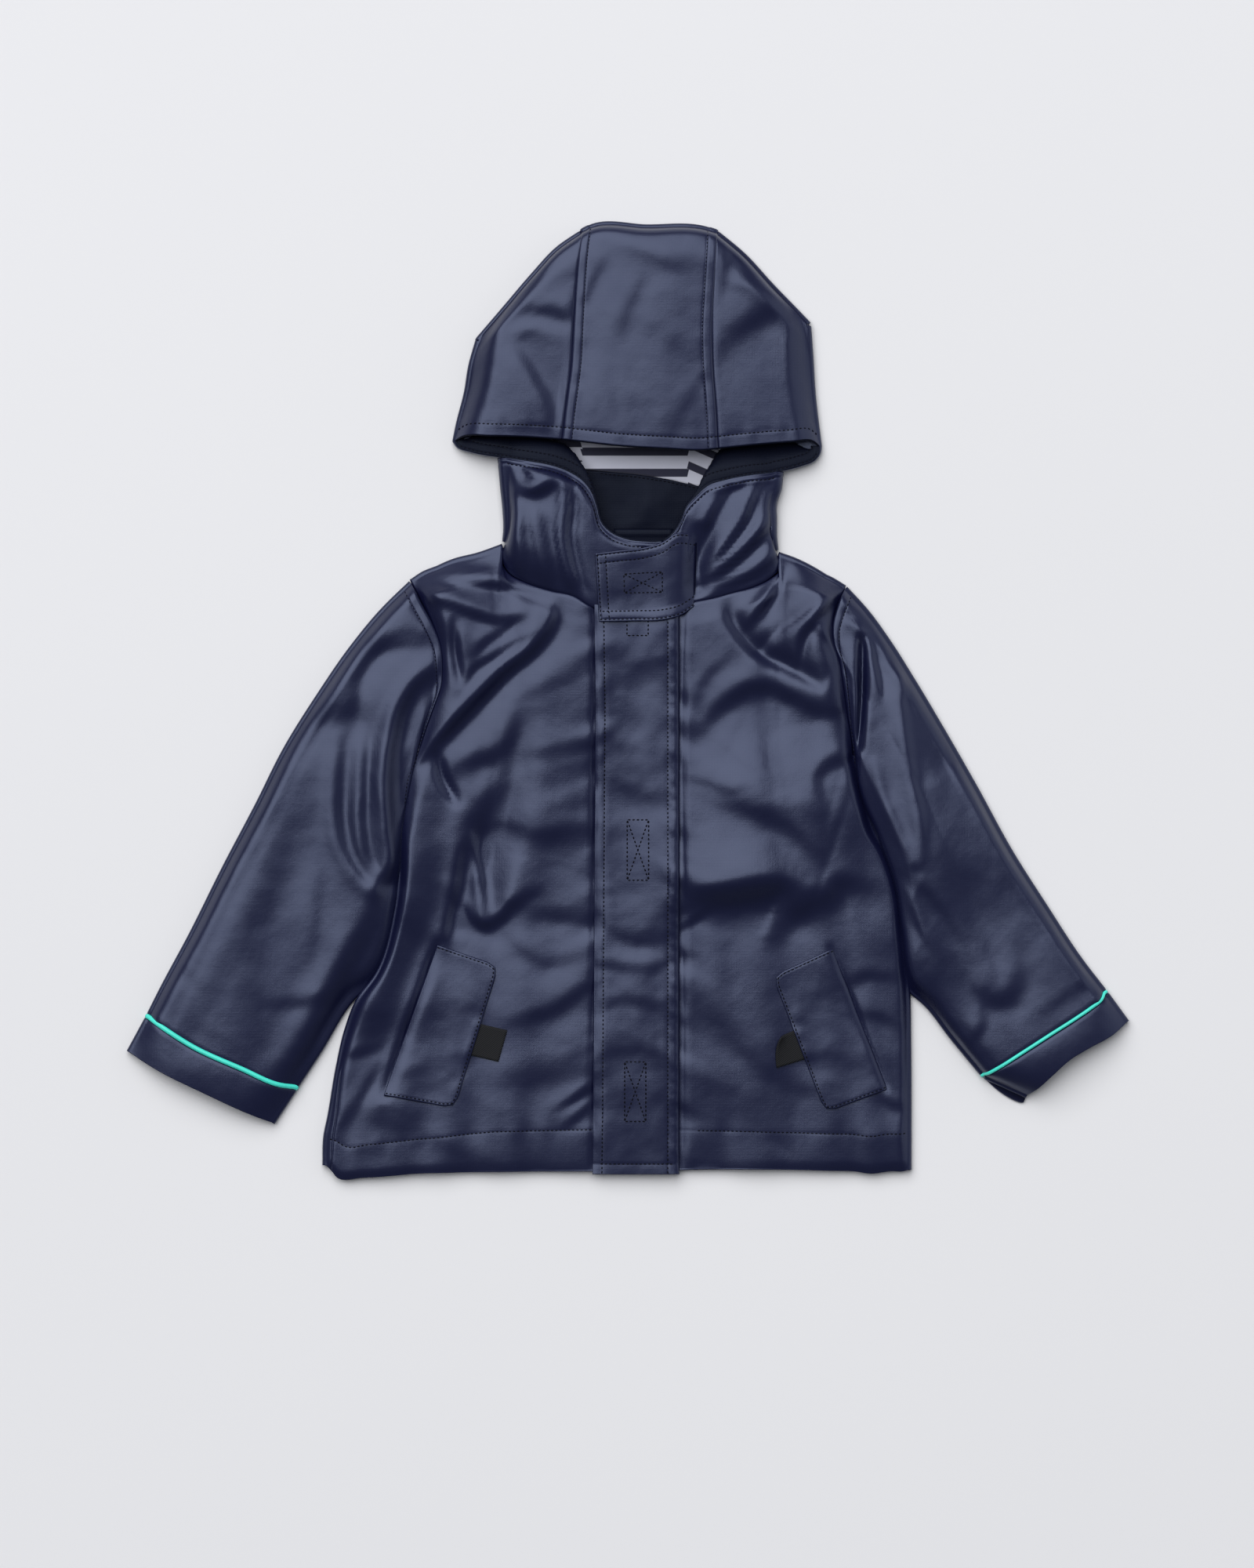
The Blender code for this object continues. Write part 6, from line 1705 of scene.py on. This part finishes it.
def at_distance(grid, distance, axis, last=False):
    """The line of points at a distance along the grid's lines from one of its sides."""
    run = run_from(grid, axis, last)
    lines = grid if axis == 0 else np.swapaxes(grid, 0, 1)
    run = run if axis == 0 else run.T
    if last:
        lines, run = lines[::-1], run[::-1]
    return np.array([[np.interp(distance, run[:, k], lines[:, k, part]) for part in range(3)]
                     for k in range(lines.shape[1])])


def box_lines(corners):
    """A stitched box with its two diagonals."""
    a, b, c, d = corners
    return [(a, b), (b, c), (c, d), (d, a), (a, c), (b, d)]


# ---------------------------------------------------------------- the coat

COATED = (coated, backing, coated, facing)
# The hood's lower layer and its facings show inside the mouth in the facing finish, whose darker colour is
# painted shade
HOOD = (coated, jersey, facing, coated)

left_parts = body_front(SIDE_LEFT, HEM_LEFT, HEM_DEPTH_LEFT, ARMHOLE_LEFT, SHOULDER_LEFT,
                        NECK_SEAM_LEFT, FRONT_FOLDS_LEFT, -1, 11)
right_parts = body_front(SIDE_RIGHT, HEM_RIGHT, HEM_DEPTH_RIGHT, ARMHOLE_RIGHT, SHOULDER_RIGHT,
                         NECK_SEAM_RIGHT, FRONT_FOLDS_RIGHT, 1, 23)
front_left = shell("front_left_cloth", left_parts, CLOTH, COATED, "front_left")
front_right = shell("front_right_cloth", right_parts, CLOTH, COATED, "front_right")
back_cloth = shell("back_cloth", [back_panel(left_parts, right_parts)], CLOTH,
                   (backing, coated, backing, coated), "back_panel")

# Sleeves, each with its cuff band and the piping between them
sleeves = {}
for name, rows, folds, armhole, turn, seed in (
        ("left", (SLEEVE_OUTER_LEFT, SLEEVE_INNER_LEFT, PIPING_LINE_LEFT, CUFF_FOOT_LEFT),
         SLEEVE_FOLDS_LEFT, ARMHOLE_LEFT, 1, 31),
        ("right", (SLEEVE_OUTER_RIGHT, SLEEVE_INNER_RIGHT, PIPING_LINE_RIGHT, CUFF_FOOT_RIGHT),
         SLEEVE_FOLDS_RIGHT, ARMHOLE_RIGHT, -1, 43)):
    sleeve = Sleeve(*rows, turn)
    upper = sleeve.upper(armhole, folds, seed)
    cloth = shell(f"sleeve_{name}_cloth", tube(upper, turn), CLOTH, COATED, f"sleeve_{name}")
    band = sleeve.cuff(seed + 9)
    peep = CUFF_PEEP * np.sin(math.pi * np.linspace(0.0, 0.72, len(band))) if name == "right" else 0.0
    cuff = shell(f"cuff_{name}_cloth", tube(band, turn, peep), CLOTH, (coated, facing, coated, facing),
                 f"cuff_{name}")
    radius = PIPING_RADIUS[name]
    closed_cord(f"cuff_{name}_piping_cord", sleeve.piping_ring(radius), radius, mint,
                f"cuff_piping_{name}")
    sleeves[name] = (cloth, upper, cuff)

left_grids, crown_left, throat_left, band_left = hood_side(
    BRIM_LEFT, CROWN_SIDE_LEFT, CROWN_TOP_LEFT, HOOD_SEAM_LEFT, LIP_LEFT, NECK_FOLD_LEFT,
    NECK_SEAM_LEFT, LIP_FACING_LEFT, (CROWN_FOLDS_LEFT, NECK_FOLDS_LEFT), -1, 51)
right_grids, crown_right, throat_right, band_right = hood_side(
    BRIM_RIGHT, CROWN_SIDE_RIGHT, CROWN_TOP_RIGHT, HOOD_SEAM_RIGHT, LIP_RIGHT, NECK_FOLD_RIGHT,
    NECK_SEAM_RIGHT, LIP_FACING_RIGHT, (CROWN_FOLDS_RIGHT, NECK_FOLDS_RIGHT), 1, 63)
centre_grids, crown_centre = hood_centre(75)
hood_left = shell("hood_left_cloth", left_grids, CLOTH, HOOD, "hood_side_left")
hood_right = shell("hood_right_cloth", right_grids, CLOTH, HOOD, "hood_side_right")
hood_mid = shell("hood_centre_cloth", centre_grids, CLOTH, HOOD, "hood_centre")
lining = shell("hood_lining_cloth", [lining_points()], JERSEY, (jersey,) * 4, "hood_lining")
neck_facing = shell("back_neck_facing_cloth", [neck_facing_points()], JERSEY, (facing,) * 4,
                    "back_neck_facing")
for item in (lining, hood_left, hood_right, hood_mid):
    add_stripes(item)

flap, flap_raised = storm_flap_points([front_left, front_right])
storm_flap = shell("storm_flap_cloth", [flap_raised], CLOTH, COATED, "storm_flap")
zip_guard = shell("zip_guard_cloth", [zip_guard_points()], GUARD, (facing,) * 4, "zip_guard")
tab, tab_raised = neck_tab_points([front_left, front_right, hood_left, hood_right, storm_flap])
neck_tab = shell("neck_tab_cloth", [tab_raised], CLOTH, COATED, "neck_tab")

# Pockets: tape ends out from under the slanted flaps
pockets = []
for name, front, corners, tape_rows in (("left", front_left, POCKET_LEFT, TAPE_LEFT),
                                        ("right", front_right, POCKET_RIGHT, TAPE_RIGHT)):
    tape = shell(f"pull_tab_{name}_tape", [pull_tab_points(tape_rows, front, name == "right")], TAPE,
                 (twill,) * 4, f"pull_tab_{name}")
    grid, raised = pocket_flap_points(corners, [front, tape], 111 + len(name), name == "right")
    pocket_flap = shell(f"pocket_flap_{name}_cloth", [raised], CLOTH, COATED,
                        f"pocket_flap_{name}")
    pockets.append((name, front, pocket_flap, grid, tape))

# ---------------------------------------------------------------- sewing

stitched("hood_hem_stitching",
         [at_distance(crown, HOOD_HEM_ROW, 0) for crown in (crown_left, crown_centre, crown_right)],
         [hood_left, hood_mid, hood_right])
stitched("hood_seam_stitching", [at_distance(crown_centre, FELL_ROW, 1, last) for last in (False, True)],
         [hood_mid], SEAM_STITCH_PITCH, SEAM_THREAD)
stitched("armhole_stitching", [at_distance(sleeves[side][1], FELL_ROW, 0) for side in ("left", "right")],
         [sleeves["left"][0], sleeves["right"][0]], SEAM_STITCH_PITCH, SEAM_THREAD)
stitched("hem_stitching", [left_parts[0][HEM_ROW, 1:-8], right_parts[0][HEM_ROW, 1:-16]],
         [front_left, front_right])
stitched("lip_stitching",
         [at_distance(throat_left, LIP_ROW, 0, True), at_distance(throat_right, LIP_ROW, 0, True),
          band_left[9, :34], band_right[9, :34], band_left[3, 4:30], band_right[3, 4:30]],
         [hood_left, hood_right])
stitched("storm_flap_stitching",
         [at_distance(flap, FLAP_LEFT_ROW, 1), at_distance(flap, FLAP_RIGHT_ROW, 1, True),
          at_distance(flap, FLAP_FOOT_ROW, 0)[4:-4]], [storm_flap])
fastener_lines = [line for left, right, foot, head in CROSS_BOXES
                  for line in box_lines(((left, foot), (right, foot), (right, head), (left, head)))]
stitched("touch_fastener_stitching", [*fastener_lines, *zip(TOP_BOX, TOP_BOX[1:])], [storm_flap],
         STITCH_PITCH, FASTENER_THREAD)
stitched("neck_tab_stitching",
         [at_distance(tab, TAB_EDGE_ROW, 1), at_distance(tab, TAB_INNER_ROW, 1)[4:-4],
          at_distance(tab, TAB_EDGE_ROW, 0), at_distance(tab, TAB_EDGE_ROW, 0, True),
          at_distance(tab, TAB_INNER_ROW, 0)[4:], at_distance(tab, TAB_INNER_ROW, 0, True)[4:],
          *box_lines(TAB_BOX)], [neck_tab])
for name, front, pocket_flap, grid, tape in pockets:
    stitched(f"pocket_flap_{name}_stitching",
             [at_distance(grid, POCKET_ROW, 0), at_distance(grid, POCKET_ROW, 0, True),
              at_distance(grid, POCKET_ROW, 1, True)], [pocket_flap])
stitched("neck_facing_stitching", [[(x, y - FACING_ROW) for x, y in LINING_FOOT[1:5]]], [neck_facing])

# ---------------------------------------------------------------- table, light and camera

bpy.ops.object.select_all(action="DESELECT")
bpy.ops.mesh.primitive_plane_add(size=6.0, location=(0.0, 0.0, -0.0002))
table_top = bpy.context.object
table_top.name = "table_top"
table_top.data.materials.append(floor_finish())


def soft_light(name, place, size, power, colour):
    """A square area light turned to the middle of the coat."""
    lamp = bpy.data.lights.new(name, "AREA")
    lamp.shape = "SQUARE"
    lamp.size = size
    lamp.energy = power
    lamp.color = colour
    item = bpy.data.objects.new(name, lamp)
    item.location = place
    item.rotation_euler = Vector(place).to_track_quat("Z", "Y").to_euler()
    bpy.context.scene.collection.objects.link(item)


soft_light("window_light", (-2.3, 4.75, 7.8), 11.6, 1270.0, (1.0, 0.99, 0.975))
soft_light("room_light", (8.6, 2.0, 3.6), 8.0, 150.0, (1.0, 1.0, 1.0))

world = bpy.data.worlds.new("room")
bpy.context.scene.world = world
world.use_nodes = True
background = world.node_tree.nodes["Background"]
background.inputs["Color"].default_value = (0.90, 0.94, 1.0, 1.0)
background.inputs["Strength"].default_value = 0.14

bpy.context.scene.view_settings.view_transform = "Standard"

camera_data = bpy.data.cameras.new("overhead_camera")
camera_data.lens = 215.8
camera_data.sensor_width = 36.0
camera = bpy.data.objects.new("overhead_camera", camera_data)
camera.location = (-0.0005, -0.05275, 6.0)
bpy.context.scene.collection.objects.link(camera)
bpy.context.scene.camera = camera
